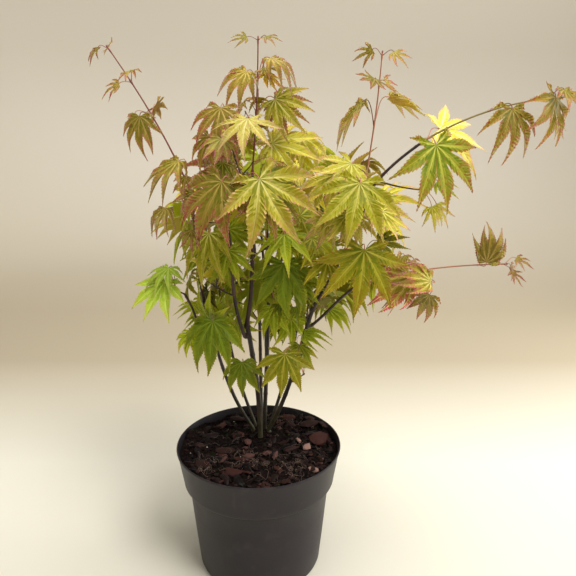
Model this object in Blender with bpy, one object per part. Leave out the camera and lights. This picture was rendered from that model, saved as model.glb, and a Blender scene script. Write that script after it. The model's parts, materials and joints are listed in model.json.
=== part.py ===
"""A young Japanese maple in a nursery pot: pot, mix, stems, boughs and leafy shoots, in metres, +Z up.

The origin is the centre of the pot's flat underside. +X runs towards the long arching branch, and the
plant's front faces -Y. Headings turn from +X (0) through +Y (90), rises are above level, both in degrees.
"""

import math
import random
from dataclasses import dataclass

import bmesh
import bpy
from mathutils import Matrix, Vector
from mathutils.bvhtree import BVHTree

GAP = 0.0003  # between solids that touch

# Nursery pot: a tapered body under a deep plain lip.
POT_HEIGHT = 0.150
RIM_RADIUS = 0.095
LIP_DEPTH = 0.043
LIP_FOOT_RADIUS = 0.0875
BODY_TOP_RADIUS = 0.082
BASE_RADIUS = 0.072
BASE_ROUND = 0.005
WALL = 0.0018
POT_SIDES = 36

# Potting mix: filled to just under the rim, level where the stems come up, lumpy around them.
MIX_LEVEL = 0.1455
MIX_LUMP = 0.0040
MIX_RINGS = 5
CLUMP_CENTRE = (0.001, 0.034)
CLUMP_RADIUS = 0.030

# Stems and boughs
STEM_SIDES = 6
BOUGH_SIDES = 5
FLARE = 0.55
FLARE_HEIGHT = 0.007
COLLAR = 0.0022

# Shoots: a slender twig, leaf stalks in opposite pairs, and palmate leaves
TWIG_SIDES = 4
TWIG_RADII = (0.0011, 0.0006)
SIDE_TWIG_RADII = (0.0008, 0.0005)
TWIG_STEP = 0.022
STALK_SIDES = 3
STALK_RING = (0, 1, 2)
STALK_RADIUS = 0.0006
STALK_SHARE = 0.50
STALK_SEAT = 0.05
BLADE_THICK = 0.0004
BLADE_THICK_SHARE = 0.018
CLEARANCE = 0.0009
TRIES = 16
NUDGE = 0.0012
TURN_STEP = 11.0
ROLL_STEP = 4.0
STALK_LEAN = 0.6
SPLAY = 56.0  # between a stalk and its twig, in degrees
LEAN = 0.42  # share of a leaf's way that points straight down
SHRINK = 0.02
FACE_UP, FACE_OUT = 0.62, 0.78
SIDE_PULL = 0.12  # how far leaves at the sides turn away from front and back
REACH = 0.105
LOWEST_LEAF = 0.212
LOWEST_RISE = 0.45
CROWN_AXIS = (0.025, 0.030)

# Each lobe of a leaf: its angle from the middle lobe in degrees, its length and its half width as shares of
# the middle lobe's length. A half width of nothing makes a plain pointed lobe.
FULL_LOBES = (
    (-124.0, 0.42, 0.0),
    (-77.0, 0.76, 0.0),
    (-38.0, 0.94, 0.120),
    (0.0, 1.00, 0.125),
    (38.0, 0.94, 0.120),
    (77.0, 0.76, 0.0),
    (124.0, 0.42, 0.0),
)
YOUNG_LOBES = (
    (-82.0, 0.55, 0.0),
    (-40.0, 0.86, 0.0),
    (0.0, 1.00, 0.095),
    (40.0, 0.86, 0.0),
    (82.0, 0.55, 0.0),
)
SINUS_SHARE = 0.34
WIDEST_AT = 0.50
YOUNG_UNDER = 0.030


@dataclass(frozen=True)
class Limb:
    """A tapering stem or bough, from the mix or a parent limb to its tip."""

    name: str
    tip: tuple
    leave: tuple
    arrive: tuple
    radii: tuple
    parent: str = ""
    at: float = 1.0
    foot: tuple = (0.0, 0.0)


@dataclass(frozen=True)
class Shoot:
    """A mass of foliage: one twig from a limb, its side twigs, and leaves in opposite pairs."""

    name: str
    parent: str
    at: float
    heading: float
    rise: float
    length: float
    bow: float
    pairs: int
    first: float
    leaf: tuple
    twist: float
    seed: int
    droop: float = 0.45
    sides: int = 0


@dataclass(frozen=True)
class LargeLeaf:
    """One leaf with a place of its own: where its stalk ends, and which way its middle lobe points."""

    shoot: str
    at: float
    hub: tuple
    along: tuple
    size: float
    roll: float = 0.0


@dataclass(frozen=True)
class Leaf:
    """A leaf as it grows: its stalk's root, way out and end, and its blade's lie and size."""

    root: Vector
    out: Vector
    hub: Vector
    along: Vector
    size: float
    droop: float
    roll: float


STEMS = (
    Limb("front_stem", (-0.011, 0.002, 0.292), (100, 88), (150, 80), (0.0034, 0.0026), foot=(0.001, 0.018)),
    Limb("back_stem", (0.006, 0.037, 0.452), (60, 86), (170, 84), (0.0031, 0.0014), foot=(0.005, 0.04)),
    Limb("right_stem", (0.061, -0.002, 0.312), (-30, 62), (-30, 72), (0.0029, 0.0021), foot=(0.011, 0.031)),
    Limb("left_stem", (-0.053, 0.028, 0.272), (188, 60), (180, 78), (0.0025, 0.0018), foot=(-0.009, 0.033)),
    Limb("left_back_stem", (-0.04, 0.06, 0.27), (150, 66), (130, 76), (0.0023, 0.0016), foot=(-0.007, 0.045)),
    Limb("right_back_stem", (0.05, 0.082, 0.285), (40, 66), (50, 72), (0.0024, 0.0017), foot=(0.013, 0.047)),
    Limb("rear_stem", (-0.003, 0.098, 0.3), (95, 70), (100, 76), (0.0026, 0.0019), foot=(0.001, 0.054)),
)

BOUGHS = (
    Limb("front_left_bough", (-0.029, -0.026, 0.418), (190, 70), (230, 76), (0.0018, 0.0012), "front_stem", 0.94),
    Limb("front_bough", (-0.003, 0.006, 0.46), (40, 76), (60, 82), (0.0022, 0.0013), "front_stem", 1.0),
    Limb("twin_bough", (0.002, 0.07, 0.392), (95, 60), (110, 74), (0.0016, 0.0011), "back_stem", 0.36),
    Limb("right_bough", (0.118, -0.026, 0.446), (-10, 60), (-30, 68), (0.0019, 0.0013), "right_stem", 1.0),
    Limb("arch_bough", (0.166, -0.03, 0.492), (0, 52), (0, 36), (0.0013, 0.0011), "right_bough", 1.0),
    Limb("right_low_bough", (0.122, -0.012, 0.348), (10, 36), (-15, 22), (0.0014, 0.0011), "right_stem", 0.9),
    Limb("left_bough", (-0.066, -0.006, 0.438), (230, 70), (230, 84), (0.0016, 0.0011), "left_stem", 1.0),
    Limb("left_low_bough", (-0.078, 0.002, 0.326), (200, 46), (200, 60), (0.0013, 0.001), "left_stem", 0.9),
    Limb("left_back_bough", (-0.064, 0.096, 0.375), (130, 66), (130, 62), (0.0015, 0.0011), "left_back_stem", 1.0),
    Limb("right_back_bough", (0.092, 0.11, 0.395), (50, 64), (40, 66), (0.0016, 0.0011), "right_back_stem", 1.0),
    Limb("rear_bough", (-0.012, 0.132, 0.405), (105, 70), (100, 70), (0.0017, 0.0011), "rear_stem", 1.0),
    Limb("rear_right_bough", (0.036, 0.14, 0.372), (60, 50), (70, 60), (0.0014, 0.001), "rear_stem", 0.92),
)

SHOOTS = (
    Shoot("centre_front_spray", "front_left_bough", 1.0, -62, 42, 0.036, 8, 1, 0.4, (0.056, 0.056), 10, 11, 0.4),
    Shoot("upper_left_spray", "front_bough", 0.9, -130, 60, 0.055, 8, 2, 0.3, (0.056, 0.042), 60, 41, 0.5),
    Shoot("apex_spray", "front_bough", 1.0, 60, 84, 0.132, 4, 4, 0.3, (0.05, 0.022), 20, 12, 0.55),
    Shoot("centre_top_spray", "back_stem", 1.0, -50, 60, 0.046, 10, 2, 0.4, (0.056, 0.05), 60, 13, 0.4),
    Shoot("right_crown_spray", "right_bough", 0.93, -120, 40, 0.022, 10, 1, 1.0, (0.05, 0.05), 70, 14, 0.35),
    Shoot("right_middle_spray", "right_bough", 0.52, -70, 15, 0.025, 8, 1, 1.0, (0.05, 0.052), 74, 15, 0.4),
    Shoot("centre_middle_spray", "back_stem", 0.63, -78, 22, 0.045, 6, 2, 0.55, (0.052, 0.054), 0, 16, 0.4),
    Shoot("arch_tip_spray", "arch_bough", 1.0, 0, 16, 0.15, -14, 2, 0.86, (0.032, 0.016), 90, 17, 0.5),
    Shoot("upright_spray", "right_bough", 0.84, 35, 82, 0.156, 4, 2, 0.84, (0.03, 0.024), 10, 18, 0.5),
    Shoot("drooping_spray", "right_low_bough", 1.0, -4, 8, 0.14, -6, 2, 0.2, (0.044, 0.022), 80, 19, 0.6),
    Shoot("right_outer_spray", "arch_bough", 0.25, -5, -12, 0.045, 6, 1, 0.55, (0.03, 0.018), 0, 20, 0.5),
    Shoot("left_long_spray", "left_bough", 1.0, 172, 61, 0.164, -6, 3, 0.6, (0.03, 0.021), 20, 21, 0.6),
    Shoot("left_upper_spray", "left_bough", 0.92, -100, 30, 0.025, 6, 1, 0.5, (0.05, 0.048), 20, 22, 0.4),
    Shoot("left_middle_spray", "left_bough", 0.62, -60, 35, 0.022, 6, 2, 0.45, (0.05, 0.05), 0, 23, 0.5),
    Shoot("left_low_spray", "left_low_bough", 1.0, 200, 40, 0.014, 6, 1, 1.0, (0.044, 0.044), 80, 24, 0.3),
    Shoot("left_bottom_spray", "left_stem", 0.9, -95, 35, 0.028, 6, 1, 0.5, (0.046, 0.046), 0, 25, 0.55),
    Shoot("low_left_spray", "front_stem", 0.64, -130, 20, 0.009, 4, 1, 1.0, (0.036, 0.034), 0, 26, 0.5),
    Shoot("low_right_spray", "right_stem", 0.52, -55, 35, 0.028, 4, 0, 0.5, (0.034, 0.034), 20, 27, 0.5),
    Shoot("right_inner_spray", "right_stem", 0.86, 82, 44, 0.044, 6, 2, 0.5, (0.052, 0.052), 40, 28, 0.4),
    Shoot("rear_top_spray", "twin_bough", 1.0, 80, 66, 0.085, 6, 3, 0.35, (0.058, 0.044), 0, 29, 0.4, sides=1),
    Shoot("rear_middle_spray", "rear_bough", 1.0, 100, 48, 0.06, 6, 3, 0.3, (0.058, 0.044), 50, 30, 0.4),
    Shoot("rear_right_spray", "right_back_bough", 1.0, 40, 46, 0.068, 6, 3, 0.35, (0.058, 0.042), 20, 31, 0.4),
    Shoot("rear_left_spray", "left_back_bough", 1.0, 112, 44, 0.064, 6, 3, 0.35, (0.056, 0.042), 70, 32, 0.4),
    Shoot("rear_low_spray", "rear_right_bough", 1.0, 70, 22, 0.045, 4, 2, 0.45, (0.052, 0.048), 10, 33, 0.5),
    Shoot("left_rear_low_spray", "left_back_stem", 0.84, 128, 30, 0.046, 4, 2, 0.5, (0.048, 0.048), 30, 34, 0.5),
    Shoot("right_rear_low_spray", "right_back_stem", 0.84, 62, 40, 0.046, 4, 2, 0.5, (0.048, 0.048), 60, 35, 0.5),
    Shoot("crown_back_spray", "back_stem", 0.86, 80, 40, 0.045, 6, 2, 0.5, (0.054, 0.05), 30, 36, 0.4),
    Shoot("inner_left_spray", "left_back_bough", 0.45, -20, 36, 0.035, 6, 2, 0.5, (0.052, 0.052), 60, 37, 0.5),
    Shoot("inner_back_spray", "twin_bough", 0.5, 150, 20, 0.035, 6, 2, 0.5, (0.05, 0.05), 60, 38, 0.5),
    Shoot("crown_centre_spray", "front_bough", 0.55, -15, 34, 0.04, 6, 2, 0.5, (0.052, 0.05), 30, 39),
    Shoot("left_inner_spray", "front_left_bough", 0.45, 165, 24, 0.03, 6, 2, 0.5, (0.048, 0.05), 10, 40, 0.5),
    Shoot("back_centre_spray", "back_stem", 0.47, 130, 30, 0.034, 6, 2, 0.5, (0.05, 0.05), 40, 42, 0.5),
    Shoot("right_back_spray", "right_back_bough", 0.45, -35, 30, 0.034, 6, 2, 0.5, (0.052, 0.05), 20, 43),
    Shoot("rear_side_spray", "rear_bough", 0.5, 195, 30, 0.04, 6, 2, 0.5, (0.052, 0.05), 50, 44),
    Shoot("right_shoulder_spray", "right_bough", 0.74, 70, 30, 0.036, 6, 2, 0.5, (0.052, 0.05), 0, 45),
    Shoot("left_shoulder_spray", "left_bough", 0.8, 60, 30, 0.034, 6, 2, 0.5, (0.05, 0.05), 30, 46),
)

# The largest and outermost leaves, each with its own place
LARGE_LEAVES = (
    LargeLeaf("centre_front_spray", 1.0, (0.006, -0.072, 0.462), (-42, -48), 0.072),
    LargeLeaf("centre_front_spray", 0.9, (-0.026, -0.062, 0.459), (-152, -57), 0.070),
    LargeLeaf("upper_left_spray", 1.0, (-0.031, -0.020, 0.525), (-111, -58), 0.048),
    LargeLeaf("upper_left_spray", 0.8, (-0.004, -0.040, 0.514), (-96, -30), 0.048),
    LargeLeaf("left_upper_spray", 1.0, (-0.070, -0.022, 0.474), (-150, -28), 0.058),
    LargeLeaf("centre_top_spray", 1.0, (0.015, 0.000, 0.489), (-22, -8), 0.056),
    LargeLeaf("right_crown_spray", 1.0, (0.102, -0.060, 0.457), (-108, -55), 0.066),
    LargeLeaf("right_crown_spray", 0.9, (0.097, -0.035, 0.472), (-132, -32), 0.046),
    LargeLeaf("right_middle_spray", 1.0, (0.109, -0.052, 0.392), (-102, -69), 0.069),
    LargeLeaf("centre_middle_spray", 1.0, (0.030, -0.030, 0.373), (-93, -70), 0.062),
    LargeLeaf("arch_tip_spray", 0.08, (0.172, -0.050, 0.492), (-35, -66), 0.072),
    LargeLeaf("arch_tip_spray", 0.10, (0.183, -0.010, 0.504), (10, -12), 0.056),
    LargeLeaf("arch_tip_spray", 0.50, (0.243, -0.045, 0.524), (-77, -61), 0.056),
    LargeLeaf("arch_tip_spray", 0.76, (0.284, -0.042, 0.528), (-99, -66), 0.050),
    LargeLeaf("drooping_spray", 0.22, (0.161, -0.035, 0.358), (-164, -27), 0.056),
    LargeLeaf("drooping_spray", 0.42, (0.180, -0.044, 0.354), (-165, 22), 0.048),
    LargeLeaf("drooping_spray", 0.48, (0.182, -0.030, 0.338), (-140, -44), 0.034),
    LargeLeaf("drooping_spray", 0.84, (0.237, -0.030, 0.368), (17, 77), 0.050),
    LargeLeaf("drooping_spray", 1.0, (0.270, -0.020, 0.374), (-28, -23), 0.022),
    LargeLeaf("left_low_spray", 1.0, (-0.096, -0.010, 0.348), (-130, -44), 0.050),
    LargeLeaf("left_bottom_spray", 1.0, (-0.046, -0.020, 0.308), (-100, -65), 0.062),
    LargeLeaf("low_left_spray", 1.0, (-0.017, -0.006, 0.254), (-95, -64), 0.041),
    LargeLeaf("low_right_spray", 1.0, (0.031, -0.030, 0.273), (-101, -64), 0.048),
    LargeLeaf("low_right_spray", 1.0, (0.050, -0.026, 0.288), (-34, 10), 0.030),
    LargeLeaf("right_outer_spray", 1.0, (0.184, -0.020, 0.431), (-30, -58), 0.029),
    LargeLeaf("left_middle_spray", 1.0, (-0.046, -0.016, 0.402), (-118, -54), 0.056),
    LargeLeaf("apex_spray", 0.72, (-0.006, 0.008, 0.560), (-148, -36), 0.046),
    LargeLeaf("apex_spray", 0.72, (0.016, -0.008, 0.562), (-35, -22), 0.042),
    LargeLeaf("apex_spray", 0.52, (0.020, 0.000, 0.533), (-46, -36), 0.046),
    LargeLeaf("upright_spray", 0.62, (0.108, -0.014, 0.530), (184, -44), 0.054, 60),
    LargeLeaf("upright_spray", 0.64, (0.134, -0.004, 0.534), (-10, -18), 0.050, -62),
    LargeLeaf("left_long_spray", 0.58, (-0.112, -0.014, 0.517), (-110, -69), 0.048),
)


def aim(heading, rise):
    """Unit vector for a heading and a rise above level, in degrees."""
    turn, lift = math.radians(heading), math.radians(rise)
    level = math.cos(lift)
    return Vector((level * math.cos(turn), level * math.sin(turn), math.sin(lift)))


def bezier(start, leave, end, arrive, count, pull=0.36):
    """Points of a cubic curve that leaves start and arrives at end along the two given directions."""
    reach = (end - start).length * pull
    corners = (start, start + leave * reach, end - arrive * reach, end)
    points = []
    for step in range(count + 1):
        t = step / count
        weights = ((1 - t) ** 3, 3 * t * (1 - t) ** 2, 3 * t * t * (1 - t), t**3)
        points.append(sum((corner * weight for corner, weight in zip(corners, weights)), Vector()))
    return points


class Path:
    """A limb's or twig's axis: its points and the radius at each."""

    def __init__(self, points, radii):
        self.points = points
        last = len(points) - 1
        self.radii = [radii[0] + (radii[1] - radii[0]) * step / last for step in range(last + 1)]

    def tangent(self, index):
        before = self.points[max(index - 1, 0)]
        after = self.points[min(index + 1, len(self.points) - 1)]
        return (after - before).normalized()

    def spot(self, share):
        """Point, tangent and radius at a share of the way along."""
        place = share * (len(self.points) - 1)
        index = min(int(place), len(self.points) - 2)
        part = place - index
        tangent = self.tangent(index).lerp(self.tangent(index + 1), part).normalized()
        radius = self.radii[index] * (1 - part) + self.radii[index + 1] * part
        return self.points[index].lerp(self.points[index + 1], part), tangent, radius


def tube(path, sides, flare=0.0, start=None):
    """Closed tube along a path, with flat ends; a flare widens its foot.

    A start gives the way and the side of the first ring, which is then left open.
    """
    way, across = start or (path.tangent(0), path.tangent(0).orthogonal().normalized())
    vertices, faces = [], []
    for index, centre in enumerate(path.points):
        if index:
            way = path.tangent(index)
        across = (across - way * across.dot(way)).normalized()
        beside = way.cross(across)
        radius = path.radii[index]
        radius *= 1 + flare * math.exp(-(centre - path.points[0]).length / FLARE_HEIGHT)
        for side in range(sides):
            angle = 2 * math.pi * side / sides
            vertices.append(centre + (across * math.cos(angle) + beside * math.sin(angle)) * radius)
    for ring in range(len(path.points) - 1):
        for side in range(sides):
            here, there = ring * sides + side, ring * sides + (side + 1) % sides
            faces.append((here, there, there + sides, here + sides))
    if start is None:
        faces.append(tuple(reversed(range(sides))))
    faces.append(tuple(range(len(vertices) - sides, len(vertices))))
    return vertices, faces


def stem_path(limb):
    """Axis of a stem that rises from a level cut just above the mix."""
    foot = Vector((*limb.foot, MIX_LEVEL + GAP))
    points = bezier(foot, aim(*limb.leave), Vector(limb.tip), aim(*limb.arrive), 8)
    points.insert(1, foot + Vector((0, 0, 0.004)))
    shift = points[1] - foot
    points[2:] = [point + shift * (1 - step / 8) for step, point in enumerate(points[2:], 1)]
    return Path(points, limb.radii)


def branch_start(parent, at, leave):
    """Where a limb or twig starts off its parent, and the way out from there."""
    point, tangent, radius = parent.spot(at)
    if at == 1.0:
        return point + tangent * GAP, tangent
    out = (leave - tangent * leave.dot(tangent)).normalized()
    return point + out * (radius + GAP), out


def branch_path(parent, at, leave, tip, arrive, radii, count):
    """Axis of a limb or twig from its parent to its tip."""
    start, out = branch_start(parent, at, leave)
    collar = start + out * COLLAR
    return Path([start] + bezier(collar, leave, tip, arrive, count), radii)


def blade_mesh(size, lobes, droop, thick, grow=0.0):
    """Vertices and triangles of a palmate leaf: stalk end at 0, middle lobe along +Y, face +Z.

    Its two faces share the outline and bulge apart at the hub and midribs; grow widens it all round.
    The first three vertices are the ring where the stalk joins.
    """
    seat = STALK_SEAT * size
    half = thick / 2

    def place(angle, radius, lift=0.0):
        turn = math.radians(angle)
        height = lift - droop * size * (radius / size) ** 2
        return Vector((-math.sin(turn) * radius, seat + math.cos(turn) * radius, height))

    top, bottom = len(STALK_RING), len(STALK_RING) + 1
    vertices = [Vector((0, 0, 0)) for _ in STALK_RING] + [place(0, 0, half), place(0, 0, -half)]
    faces = []
    before = None
    for index, (angle, length, half_width) in enumerate(lobes):
        radius = length * size
        after_lobe = lobes[index + 1] if index < len(lobes) - 1 else None
        first = len(vertices)
        if half_width:
            flare = math.degrees(math.atan2(half_width * size + grow, WIDEST_AT * radius))
            side = math.hypot(WIDEST_AT * radius, half_width * size)
            fall = -0.10 * half_width * size
            vertices += [place(angle - flare, side, fall), place(angle, radius + grow)]
            vertices += [place(angle + flare, side, fall)]
            vertices += [place(angle, WIDEST_AT * radius, half), place(angle, WIDEST_AT * radius, -half)]
            right, tip, left, ribs = first, first + 1, first + 2, (first + 3, first + 4)
        else:
            vertices.append(place(angle, radius + grow))
            right, tip, left, ribs = None, first, None, None
        after = None
        if after_lobe:
            sinus = SINUS_SHARE * size * (length + after_lobe[1]) / 2
            after = len(vertices)
            vertices.append(place((angle + after_lobe[0]) / 2, sinus + grow))
        for below, hub in enumerate((top, bottom)):
            if ribs:
                rib = ribs[below]
                rim = [before, right, tip, left, after, hub]
                fan = [(rim[spot - 1], rim[spot], rib) for spot in range(6)]
            else:
                fan = [(hub, before, tip), (hub, tip, after)]
            fan = [face for face in fan if None not in face]
            faces += [tuple(reversed(face)) for face in fan] if below else fan
        before = after
    return vertices, faces + collar_faces(top, bottom, 5, len(vertices) - 1)


def collar_faces(top, bottom, first_tip, last_tip):
    """Triangles between a stalk's open ring and the hub and basal lobes of its blade."""
    over, left, right = STALK_RING
    return [
        (top, over, first_tip),
        (first_tip, over, right),
        (first_tip, right, bottom),
        (bottom, right, left),
        (bottom, left, last_tip),
        (last_tip, left, over),
        (last_tip, over, top),
    ]


class Clearing:
    """The solids placed so far, which a new leaf or twig must keep clear of."""

    def __init__(self):
        self.placed = []

    def add(self, shape, owner=""):
        low, high = box_of(shape[0])
        self.placed.append((owner, low, high, BVHTree.FromPolygons(*shape)))

    def free(self, shape, besides=None):
        """Whether a shape touches nothing placed so far, besides the solids of one owner."""
        low, high = box_of(shape[0])
        tree = None
        for owner, other_low, other_high, other in self.placed:
            if owner == besides:
                continue
            if any(low[axis] > other_high[axis] or high[axis] < other_low[axis] for axis in range(3)):
                continue
            tree = tree or BVHTree.FromPolygons(*shape)
            if tree.overlap(other):
                return False
        return True


def box_of(vertices):
    """Lowest and highest corner of some points."""
    low = [min(vertex[axis] for vertex in vertices) for axis in range(3)]
    high = [max(vertex[axis] for vertex in vertices) for axis in range(3)]
    return low, high


def outward(point):
    """Level direction away from the crown's middle, mostly to the front or the back."""
    away = Vector((SIDE_PULL * (point.x - CROWN_AXIS[0]), point.y - CROWN_AXIS[1], 0))
    return away.normalized() if away.length > 1e-6 else Vector((0, -1, 0))


def blade_frame(leaf):
    """Placing matrix of a leaf's blade, facing up and outwards as far as its direction lets it."""
    face = Vector((0, 0, FACE_UP)) + outward(leaf.hub) * FACE_OUT
    normal = (face - leaf.along * face.dot(leaf.along)).normalized()
    normal = Matrix.Rotation(leaf.roll, 3, leaf.along) @ normal
    side = leaf.along.cross(normal)
    return Matrix.Translation(leaf.hub) @ Matrix((side, leaf.along, normal)).transposed().to_4x4()


def leaf_mesh(leaf, grow=0.0, clip=0.0):
    """One closed mesh of a leaf's blade and stalk.

    Grow widens it all round, and clip leaves out that share of the stalk's first stretch.
    """
    frame = blade_frame(leaf)
    young = leaf.size < YOUNG_UNDER
    thick = BLADE_THICK + BLADE_THICK_SHARE * leaf.size + 2 * grow
    blade, faces = blade_mesh(leaf.size, YOUNG_LOBES if young else FULL_LOBES, leaf.droop, thick, grow)
    points = bezier(leaf.root, leaf.out, leaf.hub, leaf.along, 2 if leaf.out.dot(leaf.along) > 0.4 else 3)
    radius = STALK_RADIUS * (0.75 if young else 1.0) + grow
    points[0] = points[0].lerp(points[1], clip)
    points[0] = points[0] - leaf.out * STALK_RADIUS * 0.5
    stalk = Path(points[::-1], (radius, radius))
    ring = len(STALK_RING)
    stalk_vertices, stalk_faces = tube(stalk, ring, start=(-leaf.along, frame.to_3x3() @ Vector((0, 0, 1))))
    count = len(blade) - ring
    vertices = stalk_vertices[:ring] + [frame @ vertex for vertex in blade[ring:]] + stalk_vertices[ring:]
    faces = faces + [tuple(spot if spot < ring else spot + count for spot in face) for face in stalk_faces]
    return vertices, faces


def crosses_itself(shape):
    """Whether two faces of a shape that share no corner meet."""
    tree = BVHTree.FromPolygons(*shape)
    faces = shape[1]
    return any(not set(faces[one]) & set(faces[two]) for one, two in tree.overlap(tree))


def place_leaf(owner, leaf, clearing):
    """Place a leaf if only its root meets its own twig and the rest is clear of all; tells whether it is."""
    outer = leaf_mesh(leaf, CLEARANCE, 0.6)
    if crosses_itself(leaf_mesh(leaf)):
        return False
    if not clearing.free(outer) or not clearing.free(leaf_mesh(leaf, CLEARANCE), owner):
        return False
    clearing.add(outer)
    return True


def grow_leaf(shoot, twig_spot, turn, size, rng, space, clearing):
    """One leaf of a pair, turned and shortened until it is clear of all others, or nothing."""
    root, tangent, _ = twig_spot
    jitter = [rng.uniform(-1, 1) for _ in range(4)]
    across = tangent.orthogonal().normalized()
    for attempt in range(TRIES):
        swing = (-1) ** attempt * attempt * TURN_STEP
        angle = math.radians(turn + 10 * jitter[0] + swing)
        splay = math.radians(SPLAY + 8 * jitter[1] - 1.5 * attempt)
        radial = Matrix.Rotation(angle, 3, tangent) @ across
        out = tangent * math.cos(splay) + radial * math.sin(splay)
        lean = LEAN + 0.16 * jitter[2] + 0.03 * attempt
        grown = size * (1 - SHRINK * attempt)
        hang = (out * 0.8 + outward(root) * 0.25 + Vector((0, 0, -0.25))).normalized()
        stalk = STALK_SHARE * grown * (1 + 0.05 * attempt)
        hub = root + (out * 0.55 + hang * 0.45).normalized() * stalk
        along = (hang * (1 - lean) + Vector((0, 0, -lean)) + outward(hub) * 0.1).normalized()
        leaf = Leaf(root, out, hub, along, grown, shoot.droop, math.radians(14 * jitter[3]))
        if space(hub + along * grown) and place_leaf(shoot.name, leaf, clearing):
            return [leaf]
    return []


def large_leaves(shoot, twig, clearing):
    """The leaves of a shoot that have places of their own."""
    placed = []
    for row in LARGE_LEAVES:
        if row.shoot != shoot.name:
            continue
        root, tangent, _ = twig.spot(row.at * 0.985)
        for attempt in range(TRIES):
            step = Vector((0, 0, 1)) if attempt % 2 else outward(Vector(row.hub))
            hub = Vector(row.hub) + step * NUDGE * attempt
            out = ((hub - root).normalized() + tangent * STALK_LEAN).normalized()
            roll = math.radians(row.roll + (-1) ** attempt * attempt * ROLL_STEP)
            leaf = Leaf(root, out, hub, aim(*row.along), row.size, shoot.droop, roll)
            if place_leaf(shoot.name, leaf, clearing):
                placed.append(leaf)
                break
    return placed


def shoot_twigs(shoot, limbs):
    """Axes of a shoot's main twig and side twigs."""
    leave, arrive = aim(shoot.heading, shoot.rise - shoot.bow), aim(shoot.heading, shoot.rise + shoot.bow)
    count = max(3, round(shoot.length / TWIG_STEP))
    parent = limbs[shoot.parent]
    tip = branch_start(parent, shoot.at, leave)[0] + aim(shoot.heading, shoot.rise) * shoot.length
    main = branch_path(parent, shoot.at, leave, tip, arrive, TWIG_RADII, count)
    twigs = [main]
    for side in range(shoot.sides):
        root, tangent, _ = main.spot(0.30 + 0.25 * side)
        angle = math.radians(shoot.twist + 45 + 180 * side)
        radial = Matrix.Rotation(angle, 3, tangent) @ tangent.orthogonal().normalized()
        way = (tangent + radial).normalized()
        tip = root + way * max(0.030, 0.40 * shoot.length)
        upwards = (way + Vector((0, 0, 0.5))).normalized()
        twigs.append(Path(bezier(root, way, tip, upwards, 3), SIDE_TWIG_RADII))
    return twigs


def grow_leaves(shoot, twigs, clearing):
    """The other leaves of a shoot, in opposite pairs that turn a quarter from one pair to the next."""
    rng = random.Random(shoot.seed)
    middle = twigs[0].spot(0.5)[0]
    reach = shoot.length / 2 + REACH

    def space(tip):
        return (tip - middle).length < reach and tip.z > LOWEST_LEAF + LOWEST_RISE * max(tip.y, 0)

    leaves = []
    for order, twig in enumerate(twigs):
        pairs = shoot.pairs if order == 0 else 1
        for pair in range(pairs):
            share = 1.0 if pairs == 1 else shoot.first + (1 - shoot.first) * pair / (pairs - 1)
            size = shoot.leaf[0] + (shoot.leaf[1] - shoot.leaf[0]) * (pair / max(pairs - 1, 1))
            size *= 0.85 if order else 1.0
            for half in (0, 180):
                turn = shoot.twist + 90 * (pair + order) + half
                leaves += grow_leaf(shoot, twig.spot(share * 0.985), turn, size, rng, space, clearing)
    return leaves


def make_object(name, vertices, faces, material, collection=None):
    """A mesh object from vertices and faces."""
    mesh = bpy.data.meshes.new(name)
    mesh.from_pydata([tuple(vertex) for vertex in vertices], [], faces)
    mesh.validate()
    mesh.materials.append(material)
    thing = bpy.data.objects.new(name, mesh)
    (collection or bpy.context.scene.collection).objects.link(thing)
    return thing


def make_material(name, colour, roughness, metallic=0.0):
    """A plain Principled finish."""
    material = bpy.data.materials.new(name)
    material.use_nodes = True
    surface = material.node_tree.nodes["Principled BSDF"]
    surface.inputs["Base Color"].default_value = (*colour, 1)
    surface.inputs["Roughness"].default_value = roughness
    surface.inputs["Metallic"].default_value = metallic
    return material


def fuse(base, parts, name, material):
    """Join closed meshes into one solid with a Boolean union, and keep its largest body."""
    for solver in ("EXACT", "MANIFOLD"):
        helpers = bpy.data.collections.new(name + "_parts")
        bpy.context.scene.collection.children.link(helpers)
        for index, (vertices, faces) in enumerate(parts):
            make_object(f"{name}_part_{index}", vertices, faces, material, helpers)
        thing = make_object(name, *base, material)
        union = thing.modifiers.new("union", "BOOLEAN")
        union.operation = "UNION"
        union.operand_type = "COLLECTION"
        union.collection = helpers
        union.solver = solver
        bpy.context.view_layer.objects.active = thing
        bpy.ops.object.modifier_apply(modifier=union.name)
        for helper in list(helpers.objects):
            bpy.data.meshes.remove(helper.data)
        bpy.data.collections.remove(helpers)
        if keep_main_body(thing.data):
            return
        bpy.data.meshes.remove(thing.data)
    raise ValueError(f"{name} makes no closed solid")


def keep_main_body(mesh):
    """Remove every loose scrap and sealed hollow of a mesh; tells whether what is left is closed."""
    shape = bmesh.new()
    shape.from_mesh(mesh)
    bmesh.ops.triangulate(shape, faces=shape.faces)
    unseen, bodies = set(shape.faces), []
    while unseen:
        edge_front, body = [unseen.pop()], []
        while edge_front:
            face = edge_front.pop()
            body.append(face)
            for edge in face.edges:
                for near in edge.link_faces:
                    if near in unseen:
                        unseen.remove(near)
                        edge_front.append(near)
        bodies.append(body)
    bodies.sort(key=lambda body: sum(face.calc_area() for face in body))
    scraps = [vertex for body in bodies[:-1] for face in body for vertex in face.verts]
    bmesh.ops.delete(shape, geom=list(set(scraps)), context="VERTS")
    closed = all(edge.is_manifold and edge.is_contiguous for edge in shape.edges)
    shape.to_mesh(mesh)
    shape.free()
    return closed


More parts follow.
